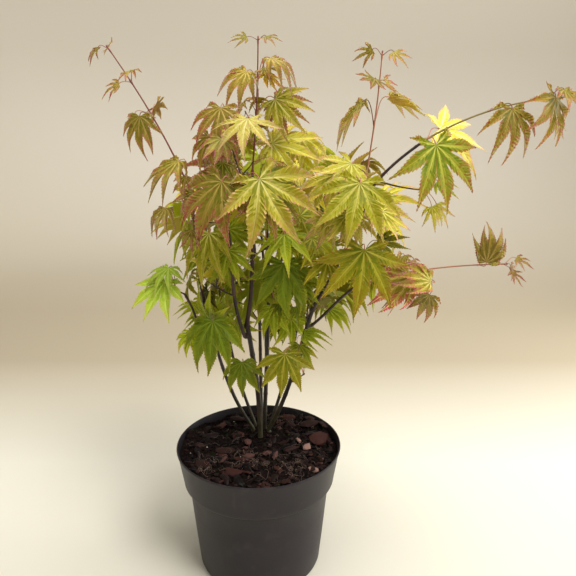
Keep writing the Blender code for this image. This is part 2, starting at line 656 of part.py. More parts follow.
def turned_profile(profile, sides):
    """Closed shape turned from a profile that starts and ends on the axis."""
    vertices, faces = [Vector((0, 0, profile[0][1]))], []
    rings = profile[1:-1]
    for radius, height in rings:
        for side in range(sides):
            angle = 2 * math.pi * side / sides
            vertices.append(Vector((radius * math.cos(angle), radius * math.sin(angle), height)))
    vertices.append(Vector((0, 0, profile[-1][1])))
    for side in range(sides):
        after = (side + 1) % sides
        faces.append((0, 1 + after, 1 + side))
        for ring in range(len(rings) - 1):
            here, above = 1 + ring * sides, 1 + (ring + 1) * sides
            faces.append((here + side, here + after, above + after, above + side))
        top = 1 + (len(rings) - 1) * sides
        faces.append((top + side, top + after, len(vertices) - 1))
    return vertices, faces


def pot_outline():
    """Radius and height of the pot's outer side, from the underside to the rim."""
    foot = [(BASE_RADIUS - BASE_ROUND, 0.0)]
    for step in (1, 2, 3):
        angle = math.radians(30 * step)
        out, lift = BASE_ROUND * math.sin(angle), BASE_ROUND * (1 - math.cos(angle))
        foot.append((BASE_RADIUS - BASE_ROUND + out, lift))
    lip_foot = POT_HEIGHT - LIP_DEPTH
    return foot + [
        (BODY_TOP_RADIUS, lip_foot),
        (LIP_FOOT_RADIUS, lip_foot + 0.0012),
        (RIM_RADIUS - 0.0008, POT_HEIGHT - 0.0012),
        (RIM_RADIUS, POT_HEIGHT),
    ]


def inner_radius(height):
    """Radius of the pot's inner side at a height."""
    lip_foot = POT_HEIGHT - LIP_DEPTH
    if height < lip_foot + WALL:
        outer = BASE_RADIUS + (BODY_TOP_RADIUS - BASE_RADIUS) * height / lip_foot
    else:
        outer = LIP_FOOT_RADIUS + (RIM_RADIUS - LIP_FOOT_RADIUS) * (height - lip_foot) / LIP_DEPTH
    return outer - WALL


def make_pot():
    """The pot: a thin turned shell with a flat underside."""
    step = POT_HEIGHT - LIP_DEPTH + WALL
    inside = [
        (inner_radius(POT_HEIGHT), POT_HEIGHT),
        (inner_radius(step), step),
        (inner_radius(step - 0.0001), step - 0.0006),
        (inner_radius(WALL), WALL),
    ]
    profile = [(0, 0), *pot_outline(), *inside, (0, WALL)]
    vertices, faces = turned_profile(profile, POT_SIDES)
    pot = make_object("pot", vertices, faces, make_material("pot_plastic", (0.040, 0.034, 0.034), 0.48))
    pot.data.shade_smooth()
    pot.data.set_sharp_from_angle(angle=math.radians(35))


def lump(x, y):
    """Height of the mix above its level: nothing where the stems stand, lumpy around them."""
    from_clump = math.hypot(x - CLUMP_CENTRE[0], y - CLUMP_CENTRE[1])
    grow = min(max((from_clump - CLUMP_RADIUS) / 0.02, 0.0), 1.0)
    waves = math.sin(210 * x + 1.3) * math.cos(190 * y) + 0.6 * math.sin(330 * (x + y) + 0.7)
    edge = math.hypot(x, y) / (inner_radius(MIX_LEVEL))
    return MIX_LUMP * grow * (0.5 * waves - 0.9 * max(edge - 0.75, 0) / 0.25)


def make_mix():
    """The potting mix that fills the pot, its top lumpy except under the stems."""
    step = POT_HEIGHT - LIP_DEPTH + WALL
    body_radius = inner_radius(step - 0.0001) - 2 * GAP
    rings = [(inner_radius(WALL) - 2 * GAP, WALL + GAP), (body_radius, step + GAP)]
    rings += [(inner_radius(step) - 2 * GAP, step + 2 * GAP)]
    vertices, faces = [], []
    for radius, height in rings:
        for side in range(POT_SIDES):
            angle = 2 * math.pi * side / POT_SIDES
            vertices.append(Vector((radius * math.cos(angle), radius * math.sin(angle), height)))
    top_radius = inner_radius(MIX_LEVEL - 1.5 * MIX_LUMP) - 2 * GAP
    for ring in range(MIX_RINGS):
        radius = top_radius * (1 - ring / MIX_RINGS)
        for side in range(POT_SIDES):
            angle = 2 * math.pi * side / POT_SIDES
            x, y = radius * math.cos(angle), radius * math.sin(angle)
            vertices.append(Vector((x, y, MIX_LEVEL + lump(x, y))))
    ring_count = len(rings) + MIX_RINGS
    for ring in range(ring_count - 1):
        for side in range(POT_SIDES):
            here, there = ring * POT_SIDES + side, ring * POT_SIDES + (side + 1) % POT_SIDES
            faces.append((here, there, there + POT_SIDES, here + POT_SIDES))
    faces.append(tuple(reversed(range(POT_SIDES))))
    vertices.append(Vector((0, 0, MIX_LEVEL + lump(0, 0))))
    for side in range(POT_SIDES):
        first = (ring_count - 1) * POT_SIDES
        faces.append((first + side, first + (side + 1) % POT_SIDES, len(vertices) - 1))
    make_object("potting_mix", vertices, faces, make_material("potting_mix", (0.030, 0.018, 0.012), 0.95))
    return vertices, faces


def make_limbs(clearing):
    """Every stem and bough as its own solid; returns their axes by name."""
    stem_bark = make_material("stem_bark", (0.035, 0.022, 0.014), 0.60)
    bough_bark = make_material("bough_bark", (0.060, 0.022, 0.016), 0.55)
    limbs = {}
    for limb in STEMS:
        path = stem_path(limb)
        limbs[limb.name] = path
        shape = tube(path, STEM_SIDES, FLARE)
        make_object(limb.name, *shape, stem_bark).data.shade_smooth()
        clearing.add(shape)
    for limb in BOUGHS:
        leave, arrive, tip = aim(*limb.leave), aim(*limb.arrive), Vector(limb.tip)
        path = branch_path(limbs[limb.parent], limb.at, leave, tip, arrive, limb.radii, 6)
        limbs[limb.name] = path
        shape = tube(path, BOUGH_SIDES)
        make_object(limb.name, *shape, bough_bark).data.shade_smooth()
        clearing.add(shape)
    return limbs


def make_shoots(limbs, clearing):
    """Every mass of foliage: the twigs first, then the large leaves and the rest, each clear of all before."""
    foliage = make_material("foliage", (0.34, 0.31, 0.06), 0.50)
    twigs = {}
    for shoot in SHOOTS:
        main, *sides = shoot_twigs(shoot, limbs)
        clearing.add(tube(main, TWIG_SIDES), shoot.name)
        kept = [side for side in sides if clearing.free(tube(side, STALK_SIDES), shoot.name)]
        for side in kept:
            clearing.add(tube(side, STALK_SIDES), shoot.name)
        twigs[shoot.name] = [main, *kept]
    leaves = {shoot.name: large_leaves(shoot, twigs[shoot.name][0], clearing) for shoot in SHOOTS}
    for shoot in SHOOTS:
        main, *sides = twigs[shoot.name]
        grown = leaves[shoot.name] + grow_leaves(shoot, twigs[shoot.name], clearing)
        parts = [leaf_mesh(leaf) for leaf in grown] + [tube(side, STALK_SIDES) for side in sides]
        fuse(tube(main, TWIG_SIDES), parts, shoot.name, foliage)


def main():
    for thing in list(bpy.data.objects):
        bpy.data.objects.remove(thing, do_unlink=True)
    clearing = Clearing()
    make_pot()
    clearing.add(make_mix())
    limbs = make_limbs(clearing)
    make_shoots(limbs, clearing)


if __name__ == "__main__":
    main()
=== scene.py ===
"""Looks of a young Japanese maple in a nursery pot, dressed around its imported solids.

The frame is in metres, +Z up: the origin is the centre of the pot's underside, and the plant's front faces -Y.
Headings turn from +X (0) through +Y (90), rises are above level, both in degrees.
"""

import json
import logging
import math
import random
from dataclasses import dataclass, field
from enum import Enum
from typing import Callable, Iterable, Optional, Sequence

import bmesh
import bpy
import numpy as np
from mathutils import Matrix, Vector, noise
from mathutils.bvhtree import BVHTree

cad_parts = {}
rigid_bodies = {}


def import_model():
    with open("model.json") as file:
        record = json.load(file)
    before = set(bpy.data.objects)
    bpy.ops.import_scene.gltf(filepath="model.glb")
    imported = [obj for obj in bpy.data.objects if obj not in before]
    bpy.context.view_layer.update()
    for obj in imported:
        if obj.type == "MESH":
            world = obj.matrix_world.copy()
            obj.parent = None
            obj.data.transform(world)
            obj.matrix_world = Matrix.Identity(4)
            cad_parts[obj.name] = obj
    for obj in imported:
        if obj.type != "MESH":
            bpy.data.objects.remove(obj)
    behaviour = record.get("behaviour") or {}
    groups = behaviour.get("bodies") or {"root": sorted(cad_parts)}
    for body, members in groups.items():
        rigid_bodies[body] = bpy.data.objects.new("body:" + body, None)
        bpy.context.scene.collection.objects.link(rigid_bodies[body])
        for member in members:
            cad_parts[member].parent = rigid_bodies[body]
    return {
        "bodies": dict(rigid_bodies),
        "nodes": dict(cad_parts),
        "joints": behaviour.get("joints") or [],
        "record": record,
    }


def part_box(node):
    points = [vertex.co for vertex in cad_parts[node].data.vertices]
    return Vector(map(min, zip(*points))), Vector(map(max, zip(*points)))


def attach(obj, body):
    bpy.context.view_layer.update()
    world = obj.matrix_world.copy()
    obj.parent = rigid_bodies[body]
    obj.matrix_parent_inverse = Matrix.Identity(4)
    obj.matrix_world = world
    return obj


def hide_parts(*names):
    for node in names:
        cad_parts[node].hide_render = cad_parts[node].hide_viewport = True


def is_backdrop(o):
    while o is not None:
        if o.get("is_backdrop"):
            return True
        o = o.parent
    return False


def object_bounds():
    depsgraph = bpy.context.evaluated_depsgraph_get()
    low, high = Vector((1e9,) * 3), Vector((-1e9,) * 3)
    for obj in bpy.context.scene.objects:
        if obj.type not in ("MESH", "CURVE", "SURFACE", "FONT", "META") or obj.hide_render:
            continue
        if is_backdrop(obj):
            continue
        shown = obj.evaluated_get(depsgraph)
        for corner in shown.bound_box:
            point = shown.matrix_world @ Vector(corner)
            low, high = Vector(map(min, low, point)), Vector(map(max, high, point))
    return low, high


log = logging.getLogger("maple")

BODY = "root"
Colour = Place = tuple[float, float, float]
Draws = np.random.Generator
Shape = tuple[list[Vector], list[tuple[int, ...]]]


# --------------------------------------------------------------------------- shaders


def linear(colour: Colour) -> tuple[float, float, float, float]:
    """Linear colour, with full alpha, of a display colour of 0 to 255 a channel."""
    shares = [channel / 255 for channel in colour]
    curved = [share / 12.92 if share <= 0.04045 else ((share + 0.055) / 1.055) ** 2.4 for share in shares]
    return (*curved, 1.0)


def blended(one: Colour, other: Colour, share: float) -> Colour:
    """Display colour that lies a share of the way from one to the other."""
    return tuple(a + (b - a) * share for a, b in zip(one, other))


class Value:
    """A shader socket that takes part in Python expressions."""

    def __init__(self, shader: "Shader", socket: bpy.types.NodeSocket) -> None:
        """Wrap an output socket of a shader's node tree."""
        self.shader = shader
        self.socket = socket

    def math(self, operation: str, *others: "Value | float", clamp: bool = False) -> "Value":
        """One Math node on this value and others.

        Args:
            operation: The Math node's operation.
            others: Further values or plain numbers.
            clamp: Whether the result is kept within 0 and 1.

        Returns:
            The node's result.
        """
        settings = {"operation": operation, "use_clamp": clamp}
        return self.shader.node("ShaderNodeMath", settings, dict(enumerate((self, *others))))

    def __add__(self, other: "Value | float") -> "Value":
        """Sum."""
        return self.math("ADD", other)

    __radd__ = __add__

    def __sub__(self, other: "Value | float") -> "Value":
        """Difference."""
        return self.math("SUBTRACT", other)

    def __rsub__(self, other: float) -> "Value":
        """Difference from a plain number."""
        return (self * -1.0).math("ADD", other)

    def __mul__(self, other: "Value | float") -> "Value":
        """Product."""
        return self.math("MULTIPLY", other)

    __rmul__ = __mul__

    def ramp(self, low: float, high: float) -> "Value":
        """Share of the way from low to high, kept within 0 and 1."""
        return ((self - low) * (1 / (high - low))).math("ADD", 0.0, clamp=True)


class Shader:
    """One material's node tree around its Principled surface."""

    def __init__(self, name: str) -> None:
        """Start a material of the given name."""
        self.material = bpy.data.materials.new(name)
        self.material.use_nodes = True
        self.surface = self.material.node_tree.nodes["Principled BSDF"]

    def node(self, kind: str, settings: dict, sockets: dict, output: int | str = 0) -> Value:
        """Add one node.

        Args:
            kind: The node's type.
            settings: Properties to set first; "stops" fills a colour ramp.
            sockets: Plain values or Values by socket name or number.
            output: Which output is wanted.

        Returns:
            The chosen output.
        """
        made = self.material.node_tree.nodes.new(kind)
        for name, setting in settings.items():
            if name == "stops":
                while len(made.color_ramp.elements) < len(setting):
                    made.color_ramp.elements.new(1.0)
                for element, (place, colour) in zip(made.color_ramp.elements, setting):
                    element.position = place
                    element.color = linear(colour)
            else:
                setattr(made, name, setting)
        for name, given in sockets.items():
            self.feed(made.inputs[name], given)
        return Value(self, made.outputs[output])

    def feed(self, socket: bpy.types.NodeSocket, given: "Value | float | tuple") -> None:
        """Give a socket a plain value, or link a Value to it.

        Args:
            socket: An input socket.
            given: What it gets.
        """
        if isinstance(given, Value):
            self.material.node_tree.links.new(given.socket, socket)
        else:
            socket.default_value = given

    def place(self, stretch: Place = (1.0, 1.0, 1.0)) -> Value:
        """Object coordinates, stretched along the axes."""
        where = self.node("ShaderNodeTexCoord", {}, {}, "Object")
        return self.node("ShaderNodeMapping", {"vector_type": "POINT"}, {"Vector": where, "Scale": stretch})

    def axis(self, number: int) -> Value:
        """One of the Object coordinates, 0 to 2 for X, Y and Z."""
        return self.node("ShaderNodeSeparateXYZ", {}, {"Vector": self.place()}, number)

    def speckle(self, scale: float, detail: float = 3.0, stretch: tuple = (1.0, 1.0, 1.0)) -> Value:
        """Noise value of a scale per metre."""
        sockets = {"Vector": self.place(stretch), "Scale": scale, "Detail": detail}
        return self.node("ShaderNodeTexNoise", {}, sockets, "Fac")

    def mix(self, share: Value, one: "Value | Colour", other: "Value | Colour") -> Value:
        """Mix two colours.

        Args:
            share: How far the mix lies from the one to the other.
            one: A colour.
            other: Another colour.

        Returns:
            The mixed colour.
        """
        made = self.material.node_tree.nodes.new("ShaderNodeMix")
        made.data_type = "RGBA"
        self.feed(made.inputs[0], share)
        for spot, given in ((6, one), (7, other)):
            self.feed(made.inputs[spot], given if isinstance(given, Value) else linear(given))
        return Value(self, made.outputs[2])

    def finish(self, **sockets: "Value | float | tuple") -> bpy.types.Material:
        """Set the surface's sockets, named with underscores, and give the material."""
        for name, given in sockets.items():
            self.feed(self.surface.inputs[name.replace("_", " ")], given)
        return self.material

    def relief(self, height: Value, depth: float) -> Value:
        """Normal of a bumpy surface, its relief in metres."""
        return self.node("ShaderNodeBump", {}, {"Height": height, "Distance": depth, "Strength": 1.0})


# How far light soaks into a leaf, in metres, and the share of it by channel
SOAK, SOAK_BY_CHANNEL = 0.0016, (1.0, 0.9, 0.3)


@dataclass(frozen=True)
class PlainFinish:
    """A finish of one colour, for small things that are joined by kind."""

    name: str
    colour: Colour
    roughness: float
    specular: float
    glow: float = 0.0

    def material(self) -> bpy.types.Material:
        """Make the material once; glow is the share of light that soaks through.

        Returns:
            The material.
        """
        known = bpy.data.materials.get(self.name)
        if known:
            return known
        shader = Shader(self.name)
        if self.glow:
            shader.finish(Subsurface_Weight=self.glow, Subsurface_Radius=SOAK_BY_CHANNEL, Subsurface_Scale=SOAK)
        return shader.finish(Base_Color=linear(self.colour), Roughness=self.roughness,
                             Specular_IOR_Level=self.specular)


# --------------------------------------------------------------------------- the plant's plan


@dataclass(frozen=True)
class Limb:
    """A tapering stem or bough, from the mix or a parent limb to its tip."""

    name: str
    tip: Place
    leave: tuple[float, float]
    arrive: tuple[float, float]
    radii: tuple[float, float]
    parent: str = ""
    at: float = 1.0
    foot: tuple[float, float] = (0.0, 0.0)


@dataclass(frozen=True)
class Shoot:
    """A mass of foliage: one twig from a limb, its side twigs, and leaves in opposite pairs."""

    name: str
    parent: str
    at: float
    heading: float
    rise: float
    length: float
    bow: float
    pairs: int
    first: float
    leaf: tuple[float, float]
    twist: float
    seed: int
    droop: float = 0.45
    sides: int = 0


@dataclass(frozen=True)
class LargeLeaf:
    """One leaf with a place of its own: where its stalk ends, and which way its middle lobe points."""

    at: float
    hub: Place
    along: tuple[float, float]
    size: float
    roll: float = 0.0


@dataclass(frozen=True)
class Leaf:
    """A leaf as it grows: its stalk's root, way out and end, and its blade's lie and size."""

    root: Vector
    out: Vector
    hub: Vector
    along: Vector
    size: float
    droop: float
    roll: float


EYE, PITCH, LENS, SENSOR = (0.034, -0.63, 0.507), 15.2, 37.5, 36.0
# Outline of the dense crown as the eye sees it, in steps of a 600th of the depth from its upper left
STEPS, MIDDLE = 600, 288
CROWN = [((x - MIDDLE) / STEPS, (MIDDLE - y) / STEPS) for x, y in (
    (228, 78), (208, 108), (196, 150), (165, 178), (172, 212), (186, 250), (190, 280), (186, 330), (205, 375),
    (245, 395), (300, 385), (312, 350), (302, 322), (340, 312), (385, 300), (430, 275), (425, 235), (405, 200),
    (385, 178), (335, 172), (318, 150), (305, 110), (285, 80), (250, 68))]
GAP = 0.0003  # between the limbs' solids where they meet
MIX_LEVEL = 0.1455
HANDLE = 0.36  # of a curve, as a share of its chord
FLARE_FADE = 0.007  # height over which a foot's flare fades
TWIG_END = 0.985  # how far along its twig a leaf at its very end starts
SEAT = 0.05  # from a blade's hub to where its lobes part, as a share of its size
CROWN_AXIS = (0.025, 0.030)
# Sides of the solids' tubes: stems, boughs, main twigs, and side twigs and stalks
STEM_SIDES, BOUGH_SIDES, TWIG_SIDES, FINE_SIDES, STEM_FLARE = 6, 5, 4, 3, 0.55

STEMS = (
    Limb("front_stem", (-0.011, 0.002, 0.292), (100, 88), (150, 80), (0.0034, 0.0026), foot=(0.001, 0.018)),
    Limb("back_stem", (0.006, 0.037, 0.452), (60, 86), (170, 84), (0.0031, 0.0014), foot=(0.005, 0.04)),
    Limb("right_stem", (0.061, -0.002, 0.312), (-30, 62), (-30, 72), (0.0029, 0.0021), foot=(0.011, 0.031)),
    Limb("left_stem", (-0.053, 0.028, 0.272), (188, 60), (180, 78), (0.0025, 0.0018), foot=(-0.009, 0.033)),
    Limb("left_back_stem", (-0.04, 0.06, 0.27), (150, 66), (130, 76), (0.0023, 0.0016), foot=(-0.007, 0.045)),
    Limb("right_back_stem", (0.05, 0.082, 0.285), (40, 66), (50, 72), (0.0024, 0.0017), foot=(0.013, 0.047)),
    Limb("rear_stem", (-0.003, 0.098, 0.3), (95, 70), (100, 76), (0.0026, 0.0019), foot=(0.001, 0.054)),
)

BOUGHS = (
    Limb("front_left_bough", (-0.029, -0.026, 0.418), (190, 70), (230, 76), (0.0018, 0.0012), "front_stem", 0.94),
    Limb("front_bough", (-0.003, 0.006, 0.46), (40, 76), (60, 82), (0.0022, 0.0013), "front_stem", 1.0),
    Limb("twin_bough", (0.002, 0.07, 0.392), (95, 60), (110, 74), (0.0016, 0.0011), "back_stem", 0.36),
    Limb("right_bough", (0.118, -0.026, 0.446), (-10, 60), (-30, 68), (0.0019, 0.0013), "right_stem", 1.0),
    Limb("arch_bough", (0.166, -0.03, 0.492), (0, 52), (0, 36), (0.0013, 0.0011), "right_bough", 1.0),
    Limb("right_low_bough", (0.122, -0.012, 0.348), (10, 36), (-15, 22), (0.0014, 0.0011), "right_stem", 0.9),
    Limb("left_bough", (-0.066, -0.006, 0.438), (230, 70), (230, 84), (0.0016, 0.0011), "left_stem", 1.0),
    Limb("left_low_bough", (-0.078, 0.002, 0.326), (200, 46), (200, 60), (0.0013, 0.001), "left_stem", 0.9),
    Limb("left_back_bough", (-0.064, 0.096, 0.375), (130, 66), (130, 62), (0.0015, 0.0011), "left_back_stem", 1.0),
    Limb("right_back_bough", (0.092, 0.11, 0.395), (50, 64), (40, 66), (0.0016, 0.0011), "right_back_stem", 1.0),
    Limb("rear_bough", (-0.012, 0.132, 0.405), (105, 70), (100, 70), (0.0017, 0.0011), "rear_stem", 1.0),
    Limb("rear_right_bough", (0.036, 0.14, 0.372), (60, 50), (70, 60), (0.0014, 0.001), "rear_stem", 0.92),
)

SHOOTS = tuple(Shoot(f"{name}_spray", *row) for name, *row in (
    ("centre_front", "front_left_bough", 1.0, -62, 42, 0.036, 8, 1, 0.4, (0.056, 0.056), 10, 11, 0.4),
    ("upper_left", "front_bough", 0.9, -130, 60, 0.055, 8, 2, 0.3, (0.056, 0.042), 60, 41, 0.5),
    ("apex", "front_bough", 1.0, 60, 84, 0.132, 4, 4, 0.3, (0.05, 0.022), 20, 12, 0.55),
    ("centre_top", "back_stem", 1.0, -50, 60, 0.046, 10, 2, 0.4, (0.056, 0.05), 60, 13, 0.4),
    ("right_crown", "right_bough", 0.93, -120, 40, 0.022, 10, 1, 1.0, (0.05, 0.05), 70, 14, 0.35),
    ("right_middle", "right_bough", 0.52, -70, 15, 0.025, 8, 1, 1.0, (0.05, 0.052), 74, 15, 0.4),
    ("centre_middle", "back_stem", 0.63, -78, 22, 0.045, 6, 2, 0.55, (0.052, 0.054), 0, 16, 0.4),
    ("arch_tip", "arch_bough", 1.0, 0, 16, 0.15, -14, 2, 0.86, (0.032, 0.016), 90, 17, 0.5),
    ("upright", "right_bough", 0.84, 35, 82, 0.156, 4, 2, 0.84, (0.03, 0.024), 10, 18, 0.5),
    ("drooping", "right_low_bough", 1.0, -4, 8, 0.14, -6, 2, 0.2, (0.044, 0.022), 80, 19, 0.6),
    ("right_outer", "arch_bough", 0.25, -5, -12, 0.045, 6, 1, 0.55, (0.03, 0.018), 0, 20, 0.5),
    ("left_long", "left_bough", 1.0, 172, 61, 0.164, -6, 3, 0.6, (0.03, 0.021), 20, 21, 0.6),
    ("left_upper", "left_bough", 0.92, -100, 30, 0.025, 6, 1, 0.5, (0.05, 0.048), 20, 22, 0.4),
    ("left_middle", "left_bough", 0.62, -60, 35, 0.022, 6, 2, 0.45, (0.05, 0.05), 0, 23, 0.5),
    ("left_low", "left_low_bough", 1.0, 200, 40, 0.014, 6, 1, 1.0, (0.044, 0.044), 80, 24, 0.3),
    ("left_bottom", "left_stem", 0.9, -95, 35, 0.028, 6, 1, 0.5, (0.046, 0.046), 0, 25, 0.55),
    ("low_left", "front_stem", 0.64, -130, 20, 0.009, 4, 1, 1.0, (0.036, 0.034), 0, 26, 0.5),
    ("low_right", "right_stem", 0.52, -55, 35, 0.028, 4, 0, 0.5, (0.034, 0.034), 20, 27, 0.5),
    ("right_inner", "right_stem", 0.86, 82, 44, 0.044, 6, 2, 0.5, (0.052, 0.052), 40, 28, 0.4),
    ("rear_top", "twin_bough", 1.0, 80, 66, 0.085, 6, 3, 0.35, (0.058, 0.044), 0, 29, 0.4, 1),
    ("rear_middle", "rear_bough", 1.0, 100, 48, 0.06, 6, 3, 0.3, (0.058, 0.044), 50, 30, 0.4),
    ("rear_right", "right_back_bough", 1.0, 40, 46, 0.068, 6, 3, 0.35, (0.058, 0.042), 20, 31, 0.4),
    ("rear_left", "left_back_bough", 1.0, 112, 44, 0.064, 6, 3, 0.35, (0.056, 0.042), 70, 32, 0.4),
    ("rear_low", "rear_right_bough", 1.0, 70, 22, 0.045, 4, 2, 0.45, (0.052, 0.048), 10, 33, 0.5),
    ("left_rear_low", "left_back_stem", 0.84, 128, 30, 0.046, 4, 2, 0.5, (0.048, 0.048), 30, 34, 0.5),
    ("right_rear_low", "right_back_stem", 0.84, 62, 40, 0.046, 4, 2, 0.5, (0.048, 0.048), 60, 35, 0.5),
    ("crown_back", "back_stem", 0.86, 80, 40, 0.045, 6, 2, 0.5, (0.054, 0.05), 30, 36, 0.4),
    ("inner_left", "left_back_bough", 0.45, -20, 36, 0.035, 6, 2, 0.5, (0.052, 0.052), 60, 37, 0.5),
    ("inner_back", "twin_bough", 0.5, 150, 20, 0.035, 6, 2, 0.5, (0.05, 0.05), 60, 38, 0.5),
    ("crown_centre", "front_bough", 0.55, -15, 34, 0.04, 6, 2, 0.5, (0.052, 0.05), 30, 39),
    ("left_inner", "front_left_bough", 0.45, 165, 24, 0.03, 6, 2, 0.5, (0.048, 0.05), 10, 40, 0.5),
    ("back_centre", "back_stem", 0.47, 130, 30, 0.034, 6, 2, 0.5, (0.05, 0.05), 40, 42, 0.5),
    ("right_back", "right_back_bough", 0.45, -35, 30, 0.034, 6, 2, 0.5, (0.052, 0.05), 20, 43),
    ("rear_side", "rear_bough", 0.5, 195, 30, 0.04, 6, 2, 0.5, (0.052, 0.05), 50, 44),
    ("right_shoulder", "right_bough", 0.74, 70, 30, 0.036, 6, 2, 0.5, (0.052, 0.05), 0, 45),
    ("left_shoulder", "left_bough", 0.8, 60, 30, 0.034, 6, 2, 0.5, (0.05, 0.05), 30, 46),
))

# The largest and outermost leaves of each shoot, which have places of their own
LARGE_LEAVES = {
    "centre_front_spray": (LargeLeaf(1.0, (0.006, -0.072, 0.462), (-42, -48), 0.072),
                           LargeLeaf(0.9, (-0.026, -0.062, 0.459), (-152, -57), 0.070)),
    "upper_left_spray": (LargeLeaf(1.0, (-0.031, -0.020, 0.525), (-111, -58), 0.048),
                         LargeLeaf(0.8, (-0.004, -0.040, 0.514), (-96, -30), 0.048)),
    "left_upper_spray": (LargeLeaf(1.0, (-0.070, -0.022, 0.474), (-150, -28), 0.058),),
    "centre_top_spray": (LargeLeaf(1.0, (0.015, 0.000, 0.489), (-22, -8), 0.056),),
    "right_crown_spray": (LargeLeaf(1.0, (0.102, -0.060, 0.457), (-108, -55), 0.066),
                          LargeLeaf(0.9, (0.097, -0.035, 0.472), (-132, -32), 0.046)),
    "right_middle_spray": (LargeLeaf(1.0, (0.109, -0.052, 0.392), (-102, -69), 0.069),),
    "centre_middle_spray": (LargeLeaf(1.0, (0.030, -0.030, 0.373), (-93, -70), 0.062),),
    "arch_tip_spray": (LargeLeaf(0.08, (0.172, -0.050, 0.492), (-35, -66), 0.072),
                       LargeLeaf(0.10, (0.183, -0.010, 0.504), (10, -12), 0.056),
                       LargeLeaf(0.50, (0.243, -0.045, 0.524), (-77, -61), 0.056),
                       LargeLeaf(0.76, (0.284, -0.042, 0.528), (-99, -66), 0.050)),
    "drooping_spray": (LargeLeaf(0.22, (0.161, -0.035, 0.358), (-164, -27), 0.056),
                       LargeLeaf(0.42, (0.180, -0.044, 0.354), (-165, 22), 0.048),
                       LargeLeaf(0.48, (0.182, -0.030, 0.338), (-140, -44), 0.034),
                       LargeLeaf(0.84, (0.237, -0.030, 0.368), (17, 77), 0.050),
                       LargeLeaf(1.0, (0.270, -0.020, 0.374), (-28, -23), 0.022)),
    "left_low_spray": (LargeLeaf(1.0, (-0.096, -0.010, 0.348), (-130, -44), 0.050),),
    "left_bottom_spray": (LargeLeaf(1.0, (-0.046, -0.020, 0.308), (-100, -65), 0.062),),
    "low_left_spray": (LargeLeaf(1.0, (-0.017, -0.006, 0.254), (-95, -64), 0.041),),
    "low_right_spray": (LargeLeaf(1.0, (0.031, -0.030, 0.273), (-101, -64), 0.048),
                        LargeLeaf(1.0, (0.050, -0.026, 0.288), (-34, 10), 0.030)),
    "right_outer_spray": (LargeLeaf(1.0, (0.184, -0.020, 0.431), (-30, -58), 0.029),),
    "left_middle_spray": (LargeLeaf(1.0, (-0.046, -0.016, 0.402), (-118, -54), 0.056),),
    "apex_spray": (LargeLeaf(0.72, (-0.006, 0.008, 0.560), (-148, -36), 0.046),
                   LargeLeaf(0.72, (0.016, -0.008, 0.562), (-35, -22), 0.042),
                   LargeLeaf(0.52, (0.020, 0.000, 0.533), (-46, -36), 0.046)),
    "upright_spray": (LargeLeaf(0.62, (0.108, -0.014, 0.530), (184, -44), 0.054, 60),
                      LargeLeaf(0.64, (0.134, -0.004, 0.534), (-10, -18), 0.050, -62)),
    "left_long_spray": (LargeLeaf(0.58, (-0.112, -0.014, 0.517), (-110, -69), 0.048),),
}

# Each lobe: its angle from the middle lobe in degrees, and its length and half width as shares of the leaf's
# size. The solids' lobes are the same, those of no half width being plain points.
FULL_LOBES = (
    (-124.0, 0.42, 0.0),
    (-77.0, 0.76, 0.0),
    (-38.0, 0.94, 0.120),
    (0.0, 1.00, 0.125),
    (38.0, 0.94, 0.120),
    (77.0, 0.76, 0.0),
    (124.0, 0.42, 0.0),
)
YOUNG_LOBES = (
    (-82.0, 0.55, 0.0),
    (-40.0, 0.86, 0.0),
    (0.0, 1.00, 0.095),
    (40.0, 0.86, 0.0),
    (82.0, 0.55, 0.0),
)


def aim(heading: float, rise: float) -> Vector:
    """Unit vector for a heading and a rise above level, in degrees."""
    turn, lift = math.radians(heading), math.radians(rise)
    level = math.cos(lift)
    return Vector((level * math.cos(turn), level * math.sin(turn), math.sin(lift)))


def bezier(start: Vector, leave: Vector, end: Vector, arrive: Vector, count: int) -> list[Vector]:
    """Points of a cubic curve between two places.

    Args:
        start: Where it starts.
        leave: Its direction there.
        end: Where it ends.
        arrive: Its direction there.
        count: How many stretches it has.

    Returns:
        The curve's points, one more than its stretches.
    """
    reach = (end - start).length * HANDLE
    corners = (start, start + leave * reach, end - arrive * reach, end)
    points = []
    for step in range(count + 1):
        t = step / count
        weights = ((1 - t) ** 3, 3 * t * (1 - t) ** 2, 3 * t * t * (1 - t), t**3)
        points.append(sum((corner * weight for corner, weight in zip(corners, weights)), Vector()))
    return points


class Path:
    """A limb's or twig's axis: its points and the radius at each."""

    def __init__(self, points: list[Vector], radii: tuple[float, float]) -> None:
        """Taper from the first radius to the second."""
        self.points = points
        last = len(points) - 1
        self.radii = [radii[0] + (radii[1] - radii[0]) * step / last for step in range(last + 1)]

    def tangent(self, index: int) -> Vector:
        """Direction at a point."""
        before = self.points[max(index - 1, 0)]
        after = self.points[min(index + 1, len(self.points) - 1)]
        return (after - before).normalized()

    def spot(self, share: float) -> tuple[Vector, Vector, float]:
        """Where the axis is, at a share of the way along.

        Args:
            share: The share, 0 at its start.

        Returns:
            Point, tangent and radius.
        """
        place = share * (len(self.points) - 1)
        index = min(int(place), len(self.points) - 2)
        part = place - index
        tangent = self.tangent(index).lerp(self.tangent(index + 1), part).normalized()
        radius = self.radii[index] * (1 - part) + self.radii[index + 1] * part
        return self.points[index].lerp(self.points[index + 1], part), tangent, radius

    def length(self) -> float:
        """Length along the axis."""
        return sum((after - before).length for before, after in zip(self.points, self.points[1:]))


